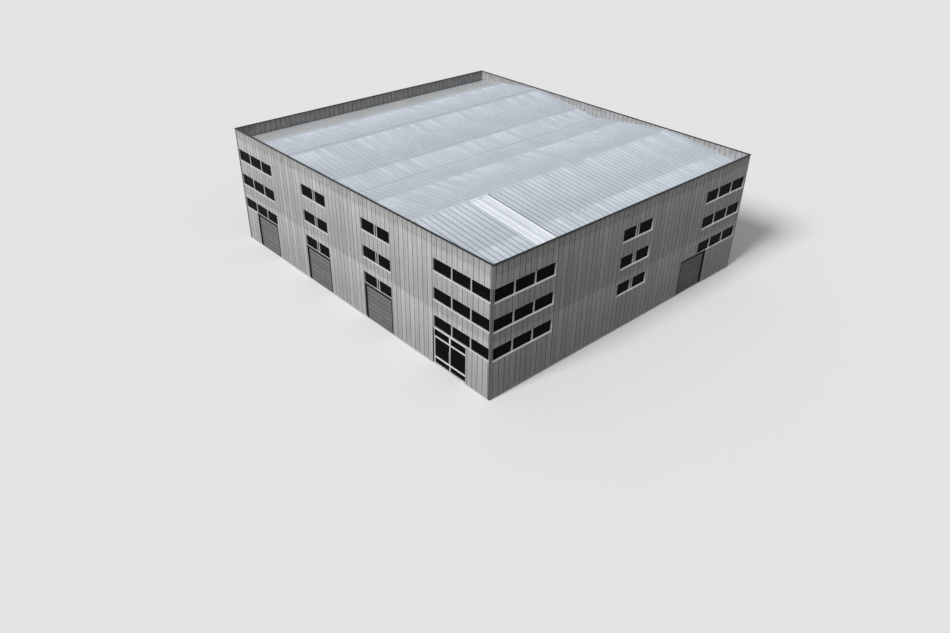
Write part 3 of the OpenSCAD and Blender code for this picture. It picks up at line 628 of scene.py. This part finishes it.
def clear_selection():
    if bpy.context.object is not None and bpy.context.object.mode != "OBJECT":
        bpy.ops.object.mode_set(mode="OBJECT")
    bpy.ops.object.select_all(action="DESELECT")


def activate(piece):
    clear_selection()
    piece.select_set(True)
    bpy.context.view_layer.objects.active = piece


def settle():
    """Puts the new piece's place, turn and size into its mesh."""
    piece = bpy.context.object
    activate(piece)
    bpy.ops.object.transform_apply(location=True, rotation=True, scale=True)
    return piece


def start(add, low, high):
    """A plane or cube between two corners."""
    clear_selection()
    add(size=1, location=(Vector(low) + Vector(high)) / 2)
    bpy.context.object.scale = [high[i] - low[i] or 1 for i in range(3)]
    return settle()


def start_sheet(low, high):
    return start(bpy.ops.mesh.primitive_plane_add, low, high)


def start_block(low, high):
    return start(bpy.ops.mesh.primitive_cube_add, low, high)


def pick(piece, kind, test):
    """In edit mode, selects the vertices, edges or faces whose middle passes a test."""
    activate(piece)
    bpy.ops.object.mode_set(mode="EDIT")
    bpy.ops.mesh.select_mode(type=kind)
    bpy.ops.mesh.select_all(action="DESELECT")
    form = bmesh.from_edit_mesh(piece.data)
    for item in {"VERT": form.verts, "EDGE": form.edges, "FACE": form.faces}[kind]:
        corners = [item] if kind == "VERT" else item.verts
        if test(sum((corner.co for corner in corners), Vector()) / len(corners)):
            item.select_set(True)
    form.select_flush_mode()
    bmesh.update_edit_mesh(piece.data)


def leave_editing():
    bpy.ops.object.mode_set(mode="OBJECT")


def extrude(*move):
    """Extrudes the selection."""
    bpy.ops.mesh.extrude_region_move(TRANSFORM_OT_translate={"value": move})


def pull(piece, kind, test, *moves):
    """Extrudes what passes a test by each move in turn."""
    pick(piece, kind, test)
    for move in moves:
        extrude(*move)
    leave_editing()


def shift(piece, kind, test, move):
    pick(piece, kind, test)
    bpy.ops.transform.translate(value=move)
    leave_editing()


def soften(piece, test, width):
    """Bevels the edges that pass a test."""
    pick(piece, "EDGE", test)
    bpy.ops.mesh.bevel(offset=width, segments=2, affect="EDGES")
    leave_editing()


def all_of(middle):
    """A test that everything passes."""
    return True


def apply_modifier(piece, kind, **settings):
    activate(piece)
    bpy.ops.object.modifier_add(type=kind)
    modifier = piece.modifiers[-1]
    for name, value in settings.items():
        setattr(modifier, name, value)
    bpy.ops.object.modifier_apply(modifier=modifier.name)


def thicken(piece, thickness, offset=0.0):
    """Gives folded sheet its thickness."""
    apply_modifier(piece, "SOLIDIFY", thickness=thickness, offset=offset)


def repeat(piece, count, step):
    """A row of copies at an even step, as one mesh."""
    apply_modifier(
        piece, "ARRAY", use_relative_offset=False, use_constant_offset=True,
        constant_offset_displace=step, count=count,
    )


def move_mesh(piece, *move):
    piece.data.transform(Matrix.Translation(move))


def copy_to(pattern, place):
    """A copy of a piece with its own mesh, put in place."""
    twin = pattern.copy()
    twin.data = pattern.data.copy()
    move_mesh(twin, *place)
    bpy.context.scene.collection.objects.link(twin)
    return twin


def join(name, parts):
    clear_selection()
    for part in parts:
        part.select_set(True)
    bpy.context.view_layer.objects.active = parts[0]
    if len(parts) > 1:
        bpy.ops.object.join()
    piece = bpy.context.view_layer.objects.active
    piece.name = piece.data.name = name
    return piece


def fit(name, parts, finish_name, side=None, body="building"):
    """Joins parts into one piece, turns it to its wall and gives it its finish and body."""
    piece = join(name, parts)
    if side:
        piece.data.transform(wall_place(side))
    pick(piece, "FACE", all_of)
    bpy.ops.mesh.normals_make_consistent(inside=False)
    leave_editing()
    piece.data.materials.clear()
    piece.data.materials.append(finish(finish_name))
    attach(piece, body)


def screw_head(radius):
    """Hexagon screw on its washer, head towards -Y, seated on the XZ plane."""
    clear_selection()
    bpy.ops.mesh.primitive_circle_add(vertices=8, radius=radius, fill_type="NGON", location=(0, 0, 0))
    piece = settle()
    pick(piece, "FACE", all_of)
    extrude(0, 0, radius * 0.2)
    bpy.ops.mesh.inset(thickness=radius * 0.35, depth=0)
    extrude(0, 0, radius * 0.55)
    bpy.ops.mesh.inset(thickness=radius * 0.12, depth=radius * 0.08)
    leave_editing()
    piece.data.transform(Matrix.Rotation(QUARTER, 4, "X"))
    return piece


def gasket(box, width, depth):
    """Upright flat ring round a pane in a wall, standing out by depth towards -Y."""
    low, high = box
    piece = start_sheet((low.x, -high.z, 0), (high.x, -low.z, 0))
    pick(piece, "FACE", all_of)
    bpy.ops.mesh.inset(thickness=width, depth=0)
    bpy.ops.mesh.delete(type="FACE")
    leave_editing()
    thicken(piece, depth, 1.0)
    piece.data.transform(Matrix.Translation((0, low.y, 0)) @ Matrix.Rotation(-QUARTER, 4, "X"))
    return piece


class CladdingOperator(Operator):
    """Finishes the cladding, its cores and the corner posts"""

    bl_idname = "factory.cladding"
    bl_label = "Cladding"

    def execute(self, context):
        dress("cladding_long", "front_cladding", "back_cladding")
        dress("cladding_short", "right_cladding", "left_cladding")
        dress(
            "wall_core", "front_wall_left", "front_wall_over_entrance", "front_wall_right",
            "right_wall", "back_wall", "left_wall",
        )
        dress("corner_post", "corner_posts")
        return {"FINISHED"}


class ScrewOperator(Operator):
    """Adds the rows of screws that hold the cladding"""

    bl_idname = "factory.cladding_screws"
    bl_label = "Cladding screws"

    row_heights = (0.30, 1.95, 3.42, 5.56, 8.17, 10.45, 11.88)

    def execute(self, context):
        look = context.scene.cladding_look
        pitch = look.screw_pitch
        for side in SIDES:
            rows = []
            for z in self.row_heights:
                for start_x, end_x in free_spans(side, z, 0.06):
                    first = (math.ceil(start_x / pitch - 0.5) + 0.5) * pitch
                    count = int((end_x - first) / pitch) + 1
                    if count < 1 or first > end_x:
                        continue
                    row = screw_head(look.screw_radius)
                    move_mesh(row, first, 0, z)
                    repeat(row, count, (pitch, 0, 0))
                    rows.append(row)
            fit(f"{side}_cladding_screws", rows, "trim_zinc", side)
        return {"FINISHED"}


class BaseFlashingOperator(Operator):
    """Adds the folded flashing along the foot of each wall"""

    bl_idname = "factory.base_flashing"
    bl_label = "Base flashing"

    leg: length("Leg", "Height on the wall", 0.09)
    nose: length("Nose", "Distance from the wall", 0.022)

    def execute(self, context):
        for side in SIDES:
            runs = [self.run(*span) for span in free_spans(side, SLAB_TOP + self.leg, 0.0)]
            fit(f"{side}_base_flashing", runs, "flashing_coat", side)
        return {"FINISHED"}

    def run(self, start_x, end_x):
        fold_z = SLAB_TOP + 0.02
        middle = (start_x + end_x) / 2
        run = start_sheet((start_x, -self.nose, fold_z), (end_x, -0.002, fold_z))
        pull(run, "EDGE", lambda m: m.y > -0.003 and abs(m.x - middle) < 0.01, (0, 0, self.leg))
        pull(
            run, "EDGE", lambda m: m.y < 0.001 - self.nose and abs(m.x - middle) < 0.01,
            (0, 0, -0.018), (0, 0.006, -0.005),
        )
        thicken(run, 0.0015, 1.0)
        return run


class ParapetOperator(Operator):
    """Finishes the parapet's cap and lining"""

    bl_idname = "factory.parapet"
    bl_label = "Parapet"

    def execute(self, context):
        dress("cap_coat", "parapet_cap")
        dress("parapet_sheet", "parapet_lining")
        return {"FINISHED"}


class RoofOperator(Operator):
    """Finishes the roof sheets, ridge caps and gutters"""

    bl_idname = "factory.roof"
    bl_label = "Roof sheets"

    def execute(self, context):
        dress("roof_sheet", *(f"roof_slope_{number}" for number in range(1, 5)), "ridge_caps")
        dress("gutter_zinc", "roof_gutters")
        return {"FINISHED"}


class VergeOperator(Operator):
    """Adds the folded flashings where the roof meets the front and back parapets"""

    bl_idname = "factory.verge_flashings"
    bl_label = "Verge flashings"

    width: length("Width", "Width on the roof", 0.15)
    upstand: length("Upstand", "Height on the lining", 0.035)

    def execute(self, context):
        slopes = (
            (-ROOF_X + DRIP_GAP, -RIDGE_X), (-DRIP_GAP, -RIDGE_X), (DRIP_GAP, RIDGE_X),
            (ROOF_X - DRIP_GAP, RIDGE_X),
        )
        strips = [self.strip(end, *slope) for end in (-1, 1) for slope in slopes]
        fit("verge_flashings", strips, "trim_zinc")
        return {"FINISHED"}

    def strip(self, end, low_x, top_x):
        """A strip that climbs one slope beside the front or the back parapet."""
        left, right = sorted((low_x, top_x))
        wall_y = end * (ROOF_Y - 0.002)
        near, far = sorted((end * (ROOF_Y - self.width), wall_y))
        z = EAVE_Z + LAP_STEP
        strip = start_sheet((left, near, z), (right, far, z))
        shift(strip, "VERT", lambda m: abs(m.x - top_x) < 0.01, (0, 0, RIDGE_Z - EAVE_Z + 0.006))
        pull(
            strip, "EDGE", lambda m: abs(m.y - wall_y) < 0.001 and abs(m.x - (left + right) / 2) < 0.01,
            (0, 0, self.upstand),
        )
        thicken(strip, 0.002)
        return strip


class RidgeOperator(Operator):
    """Adds the wedges that close the gaps between the seams under the ridge caps"""

    bl_idname = "factory.ridge_closures"
    bl_label = "Ridge closures"

    wedge: length("Wedge", "Distance that a closure's foot reaches out", 0.16)

    def execute(self, context):
        cover = context.scene.roof_look.seam_cover
        from_ridge, half_t, half_l = 0.156, 0.006, cover / 2 - 0.019
        count = 2 * int((ROOF_Y - half_l) / cover) + 1
        first = -(count - 1) / 2 * cover
        foot = RIDGE_Z + LAP_STEP - from_ridge * ROOF_FALL
        parts = []
        for x, outwards in (
            (-RIDGE_X - from_ridge, -1), (-RIDGE_X + from_ridge, 1),
            (RIDGE_X - from_ridge, -1), (RIDGE_X + from_ridge, 1),
        ):
            block = start_block(
                (x - half_t, first - half_l, foot + 0.001),
                (x + half_t, first + half_l, foot + SEAM_H - 0.001),
            )
            soften(block, lambda m: m.z > foot + SEAM_H - 0.003, 0.003)
            shift(
                block, "EDGE", lambda m: m.z < foot + 0.002 and (m.x - x) * outwards > half_t / 2,
                (outwards * self.wedge, 0, -self.wedge * ROOF_FALL),
            )
            repeat(block, count, (0, cover, 0))
            parts.append(block)
        fit("ridge_closures", parts, "roof_sheet")
        return {"FINISHED"}


def gutter_spans(width, play):
    """Left and right edge of a strip over each gutter, the outer ones a little apart from the lining."""
    return (-ROOF_X + play, -ROOF_X + width), (-width, width), (ROOF_X - width, ROOF_X - play)


class GuardOperator(Operator):
    """Adds the perforated guards that cover the slots of the gutters"""

    bl_idname = "factory.gutter_guards"
    bl_label = "Gutter guards"

    def execute(self, context):
        guards = []
        z, half_l, play = EAVE_Z - 0.008, ROOF_Y - 0.004, 0.003
        for left, right in gutter_spans(DRIP_GAP - play, play):
            guard = start_sheet((left, -half_l, z), (right, half_l, z))
            pull(guard, "EDGE", lambda m: abs(m.y) < 0.01, (0, 0, -0.02))
            thicken(guard, 0.0015)
            guards.append(guard)
        fit("gutter_guards", guards, "guard_mesh")
        return {"FINISHED"}


class GutterOperator(Operator):
    """Adds the straps across the gutters"""

    bl_idname = "factory.gutter_straps"
    bl_label = "Gutter straps"

    def execute(self, context):
        pitch = 1.2
        first_y, z = -ROOF_Y + pitch / 2, EAVE_Z - SHEET_T - 0.025
        count = int((2 * ROOF_Y - pitch) / pitch) + 1
        straps = []
        for left, right in gutter_spans(0.18, 0.012):
            strap = start_block((left, first_y, z), (right, first_y + 0.03, z + 0.004))
            soften(strap, lambda m: m.z > z + 0.003 and abs(m.x - (left + right) / 2) < 0.01, 0.001)
            repeat(strap, count, (0, pitch, 0))
            straps.append(strap)
        fit("gutter_straps", straps, "gutter_zinc")
        return {"FINISHED"}


class WindowOperator(Operator):
    """Finishes the window frames, linings and glass"""

    bl_idname = "factory.windows"
    bl_label = "Windows"

    def execute(self, context):
        for side in SIDES:
            # The long sides' frames take the darker copy of the paint (painted shade), the short sides' the
            # lighter one (painted light).
            dress("shaded_frame_paint" if side in LONG_SIDES else "frame_paint", f"{side}_window_frames")
            dress("tinted_glass", f"{side}_window_glass")
        dress("lining_paint", "window_linings")
        return {"FINISHED"}


class SillOperator(Operator):
    """Adds the folded sill under each window"""

    bl_idname = "factory.sills"
    bl_label = "Window sills"

    def execute(self, context):
        look = context.scene.window_look
        for side in SIDES:
            # The short sides' sills take the lighter copy of the sill paint, as painted light.
            apron, paint = look.sill_apron, "sill_paint"
            if side in LONG_SIDES:
                apron, paint = look.low_sill_apron, "long_wall_sill_paint"
            patterns, sills = {}, []
            for low, high in WINDOWS[side]:
                over_door = stands_over((low, high), DOORWAYS[side])
                key = (round(high.x - low.x, 3), over_door)
                if key not in patterns:
                    patterns[key] = self.sill(look, key[0] / 2, apron, over_door)
                sills.append(copy_to(patterns[key], ((low.x + high.x) / 2, 0, low.z)))
            for pattern in patterns.values():
                bpy.data.objects.remove(pattern)
            fit(f"{side}_sills", sills, paint, side)
        return {"FINISHED"}

    def sill(self, look, half, apron, over_door):
        """A sill that rises to the frame and is folded down and outwards over the wall's face."""
        board, edge, rise = 0.016, -0.004, 0.010
        nose = look.sill_nose
        if over_door:
            apron, nose = look.door_apron, look.sill_nose / 2
        sill = start_sheet((-half, edge, board), (half, FRAME_Y, board))
        shift(sill, "EDGE", lambda m: m.y > FRAME_Y - 0.001, (0, 0, rise))
        pull(sill, "EDGE", lambda m: m.y < edge + 0.001, (0, -nose - edge, -apron), (0, 0.008, -0.004))
        thicken(sill, 0.002)
        return sill


class HeadFlashingOperator(Operator):
    """Adds the dark folded flashing over each roller door, in front of the sill above it"""

    bl_idname = "factory.head_flashings"
    bl_label = "Head flashings"

    depth: length("Depth", "Depth into the window opening", 0.026)
    nose: length("Nose", "Distance from the wall", 0.026)
    overlap: length("Overlap", "Distance past the doorway on each side", 0.15)

    def execute(self, context):
        hoods = []
        top = SILL_Z + 0.022
        for side in SIDES:
            for low, high in SHUTTERS[side]:
                left, right = low.x - self.overlap, high.x + self.overlap
                hood = start_sheet((left, -self.nose, top), (right, self.depth, top + 0.001))
                pull(hood, "EDGE", lambda m: m.y < 0.001 - self.nose, (0, 0, -0.05), (0, 0.008, -0.006))
                thicken(hood, 0.002)
                hood.data.transform(wall_place(side))
                hoods.append(hood)
        fit("door_head_flashings", hoods, "surround_coat")
        return {"FINISHED"}


def window_lights(width, look):
    """Left and right edge of each light of a window, from the window's left edge."""
    if width > 5:
        light = (width - 2 * look.rim - 2 * look.wide_bar) / 3
        starts = [look.rim + i * (light + look.wide_bar) for i in range(3)]
        return [(edge, edge + light) for edge in starts]
    light = (width - 2 * look.rim - 2 * look.pair_bar - look.slit) / 2
    slit_at = look.rim + light + look.pair_bar
    far_edge = width - look.rim
    return [(look.rim, look.rim + light), (slit_at, slit_at + look.slit), (far_edge - light, far_edge)]


class GasketOperator(Operator):
    """Adds the black gasket round each pane and the black drain strip on the sill before it"""

    bl_idname = "factory.gaskets"
    bl_label = "Window gaskets"

    door_drain_front: length("Drain strip over doors", "Depth at which those over roller doors start", 0.1)

    def execute(self, context):
        look = context.scene.window_look
        for side in SIDES:
            depth, side_front = look.thin_gasket_depth, look.deep_drain_front
            if side in LONG_SIDES:
                depth, side_front = look.gasket_depth, look.drain_front
            parts = []
            for low, high in WINDOWS[side]:
                front = self.door_drain_front if stands_over((low, high), SHUTTERS[side]) else side_front
                foot, head = low.z + look.rim, high.z - look.rim
                strip_z = foot + 0.0015
                for light_start, light_end in window_lights(high.x - low.x, look):
                    left, right = low.x + light_start, low.x + light_end
                    pane = (Vector((left, low.y, foot)), Vector((right, low.y, head)))
                    parts.append(gasket(pane, look.gasket, depth))
                    strip = start_sheet((left, front, strip_z), (right, low.y - depth, strip_z))
                    thicken(strip, 0.002, 1.0)
                    parts.append(strip)
            fit(f"{side}_window_gaskets", parts, "rubber", side)
        return {"FINISHED"}


class ShutterOperator(Operator):
    """Finishes the roller doors and adds their guides, foot seals and pulls"""

    bl_idname = "factory.roller_doors"
    bl_label = "Roller doors"

    def execute(self, context):
        look = context.scene.door_look
        dress("shutter_panel", *SHUTTER_NODES["front"])
        dress("shaded_shutter_panel", *SHUTTER_NODES["right"])
        dress("surround_coat", "shutter_surrounds")
        guides, seals, pulls = [], [], []
        for side in SIDES:
            for low, high in SHUTTERS[side]:
                pair = [self.guide(look, low, high, low.x, 1), self.guide(look, low, high, high.x, -1)]
                seal, bar = self.seal(look, low, high), self.pull_bar(low, high)
                for part in (*pair, seal, bar):
                    part.data.transform(wall_place(side))
                guides += pair
                seals.append(seal)
                pulls.append(bar)
        fit("shutter_guides", guides, "surround_coat")
        fit("shutter_foot_seals", seals, "rubber")
        fit("shutter_pulls", pulls, "handle_steel")
        return {"FINISHED"}

    def guide(self, look, low, high, edge, inwards):
        left, right = sorted((edge, edge + inwards * look.guide_width))
        guide = start_sheet((left, low.y - 0.045, low.z), (right, low.y - 0.003, low.z))
        pull(guide, "FACE", all_of, (0, 0, high.z - low.z))
        soften(guide, lambda m: m.y < low.y - 0.044 and abs(m.z - (low.z + high.z) / 2) < 0.1, 0.006)
        return guide

    def seal(self, look, low, high):
        seal = start_block(
            (low.x + look.guide_width, low.y - 0.012, low.z),
            (high.x - look.guide_width, low.y - 0.0005, low.z + look.seal_height),
        )
        shift(seal, "EDGE", lambda m: m.y < low.y - 0.011 and m.z > low.z + 0.01, (0, 0.006, 0))
        return seal

    def pull_bar(self, low, high):
        centre, half_w, grip_z, grip_h = (low.x + high.x) / 2, 0.11, low.z + 0.72, 0.05
        bar = start_block(
            (centre - half_w, low.y - 0.012, grip_z),
            (centre + half_w, low.y - 0.0005, grip_z + grip_h),
        )
        pick(bar, "FACE", lambda m: m.y < low.y - 0.011)
        bpy.ops.mesh.inset(thickness=0.014, depth=0)
        extrude(0, -0.02, 0)
        leave_editing()
        soften(bar, lambda m: m.y < low.y - 0.031, 0.004)
        return bar


class EntranceOperator(Operator):
    """Finishes the glazed entrance and adds its gaskets, step plate and foot seals"""

    bl_idname = "factory.entrance"
    bl_label = "Entrance"

    def execute(self, context):
        dress("surround_coat", "entrance_surround")
        dress("entrance_paint", "entrance_frame")
        dress("tinted_glass", "entrance_top_glass")
        _, parts = self.glazing("entrance_top_glass")
        fit("entrance_top_gaskets", parts, "rubber", "front")
        fit("entrance_step_plate", [self.step_plate()], "entrance_paint", "front")
        for hand in ("left", "right"):
            dress("entrance_paint", f"entrance_leaf_{hand}")
            dress("tinted_glass", f"leaf_glass_{hand}")
            panes, parts = self.glazing(f"leaf_glass_{hand}")
            parts.append(self.foot_seal(hand, panes[0]))
            fit(f"leaf_gaskets_{hand}", parts, "rubber", "front", f"leaf_{hand}")
        return {"FINISHED"}

    def glazing(self, node):
        """The panes of a glass node and a gasket round each."""
        panes = [on_wall("front", box) for box in solid_boxes(node)]
        return panes, [gasket(pane, 0.016, 0.008) for pane in panes]

    def step_plate(self):
        low, high = ENTRANCE
        front, z = -0.004, SLAB_TOP + 0.003
        plate = start_sheet((low.x, front, z), (high.x, low.y - 0.002, z))
        pull(plate, "EDGE", lambda m: m.y < front + 0.001, (0, 0, 0.004 - SLAB_TOP))
        thicken(plate, 0.003)
        return plate

    def foot_seal(self, hand, lowest_pane):
        """Black seal on the front of a leaf's bottom rail."""
        leaf_low, leaf_high = on_wall("front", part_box(f"entrance_leaf_{hand}"))
        low, high = lowest_pane
        face = (low.y + high.y) / 2 - LEAF_T / 2
        seal = start_block(
            (leaf_low.x + 0.004, face - 0.006, low.z - 0.043),
            (leaf_high.x - 0.004, face - 0.0005, low.z + 0.004),
        )
        soften(seal, lambda m: m.y < face - 0.005 and m.z > low.z, 0.002)
        return seal


class StructureOperator(Operator):
    """Finishes the slab, the floors, the columns and the beams, and adds the columns' base plates"""

    bl_idname = "factory.structure"
    bl_label = "Floors and frame"

    def execute(self, context):
        dress("concrete", "floor_slab", "upper_floors")
        dress("frame_steel", "columns", "roof_beams")
        margin, plate_t, bolt_radius = 0.06, 0.022, 0.022
        plates = []
        for low, high in solid_boxes("columns"):
            plate = start_block(
                (low.x - margin, low.y - margin, low.z + 0.0005),
                (high.x + margin, high.y + margin, low.z + plate_t),
            )
            soften(plate, lambda m: m.z > low.z + 0.02, 0.003)
            plates.append(plate)
            for x in (low.x - margin / 2, high.x + margin / 2):
                for y in (low.y + 0.05, high.y - 0.05):
                    bolt = screw_head(bolt_radius)
                    bolt.data.transform(Matrix.Rotation(-QUARTER, 4, "X"))
                    move_mesh(bolt, x, y, low.z + plate_t)
                    plates.append(bolt)
        fit("column_base_plates", plates, "frame_steel")
        return {"FINISHED"}


class StudioOperator(Operator):
    """Sets up the floor, the light and the camera"""

    bl_idname = "factory.studio"
    bl_label = "Studio"

    def execute(self, context):
        look = context.scene.studio_look
        self.make_floor(look)
        self.make_sky(context.scene, look)
        self.make_key_light(look)
        self.make_camera(context.scene, look)
        context.scene.view_settings.view_transform = "Standard"
        return {"FINISHED"}

    def make_floor(self, look):
        clear_selection()
        bpy.ops.mesh.primitive_plane_add(size=1600, location=(0, 0, -0.001))
        floor = settle()
        floor.name = floor.data.name = "studio_floor"
        f = Finish(specular=0.0)
        f.material.name = "studio_floor"
        shown = f.between(f.seen(), look.floor_bounce, look.floor_tone)
        shown = f.times(shown, f.between(f.noise(3), 0.992, 1))
        floor.data.materials.append(f.done(f.blend(shown, (0, 0, 0), (1, 1, 1)), 0.95))

    def make_sky(self, scene, look):
        scene.world = bpy.data.worlds.new("studio_sky")
        scene.world.use_nodes = True
        sky = Nodes(scene.world.node_tree)
        background = sky.tree.nodes["Background"]
        sky.feed(background.inputs["Color"], (1, 1, 1))
        sky.feed(background.inputs["Strength"], sky.between(sky.seen(), look.sky_level, 1))

    def make_key_light(self, look):
        clear_selection()
        bpy.ops.object.light_add(type="SUN", location=(0.4, -76, 65))
        key = bpy.context.object
        key.name = "key_light"
        towards = Vector((0.004, -0.762, 0.648))
        key.rotation_euler = towards.to_track_quat("Z", "Y").to_euler()
        key.data.energy = look.sun_strength
        key.data.angle = look.sun_softness

    def make_camera(self, scene, look):
        """The photo's camera, from its place, its heading, its tilt down and its lean."""
        heading, tilt, lean = math.radians(47.213), math.radians(32.345), math.radians(0.995)
        clear_selection()
        bpy.ops.object.camera_add(location=(53.93, -50.96, 38.82))
        camera = bpy.context.object
        camera.name = "photo_camera"
        tilted = Matrix.Rotation(heading, 4, "Z") @ Matrix.Rotation(QUARTER - tilt, 4, "X")
        turn = tilted @ Matrix.Rotation(lean, 4, "Z")
        camera.matrix_world = Matrix.Translation(camera.location) @ turn
        camera.data.sensor_width = 36
        camera.data.lens = look.lens
        camera.data.clip_end = 2000
        scene.camera = camera


class FactoryPanel(Panel):
    """Sizes, tones and steps of the factory building"""

    bl_idname = "VIEW3D_PT_factory"
    bl_label = "Factory building"
    bl_space_type = "VIEW_3D"
    bl_region_type = "UI"
    bl_category = "Factory"

    def draw(self, context):
        layout = self.layout
        for title, name, group in LOOKS:
            box = layout.box()
            box.label(text=title)
            for key in group.__annotations__:
                box.prop(getattr(context.scene, name), key)
        for operator in OPERATORS:
            layout.operator(operator.bl_idname, text=operator.bl_label)


LOOKS = (
    ("Cladding", "cladding_look", CladdingLook),
    ("Roof", "roof_look", RoofLook),
    ("Windows", "window_look", WindowLook),
    ("Doors", "door_look", DoorLook),
    ("Studio", "studio_look", StudioLook),
)
OPERATORS = (
    CladdingOperator, ScrewOperator, BaseFlashingOperator, ParapetOperator, RoofOperator, VergeOperator,
    RidgeOperator, GuardOperator, GutterOperator, WindowOperator, SillOperator, HeadFlashingOperator,
    GasketOperator, ShutterOperator, EntranceOperator, StructureOperator, StudioOperator,
)


def register():
    for title, name, group in LOOKS:
        bpy.utils.register_class(group)
        setattr(bpy.types.Scene, name, PointerProperty(type=group))
    for operator in OPERATORS:
        bpy.utils.register_class(operator)
    bpy.utils.register_class(FactoryPanel)


def unregister():
    bpy.utils.unregister_class(FactoryPanel)
    for operator in reversed(OPERATORS):
        bpy.utils.unregister_class(operator)
    for title, name, group in reversed(LOOKS):
        delattr(bpy.types.Scene, name)
        bpy.utils.unregister_class(group)


def main():
    register()
    bpy.ops.factory.cladding()
    bpy.ops.factory.cladding_screws()
    bpy.ops.factory.base_flashing()
    bpy.ops.factory.parapet()
    bpy.ops.factory.roof()
    bpy.ops.factory.verge_flashings()
    bpy.ops.factory.ridge_closures()
    bpy.ops.factory.gutter_guards()
    bpy.ops.factory.gutter_straps()
    bpy.ops.factory.windows()
    bpy.ops.factory.sills()
    bpy.ops.factory.head_flashings()
    bpy.ops.factory.gaskets()
    bpy.ops.factory.roller_doors()
    bpy.ops.factory.entrance()
    bpy.ops.factory.structure()
    bpy.ops.factory.studio()
    clear_selection()


if __name__ == "__main__":
    main()
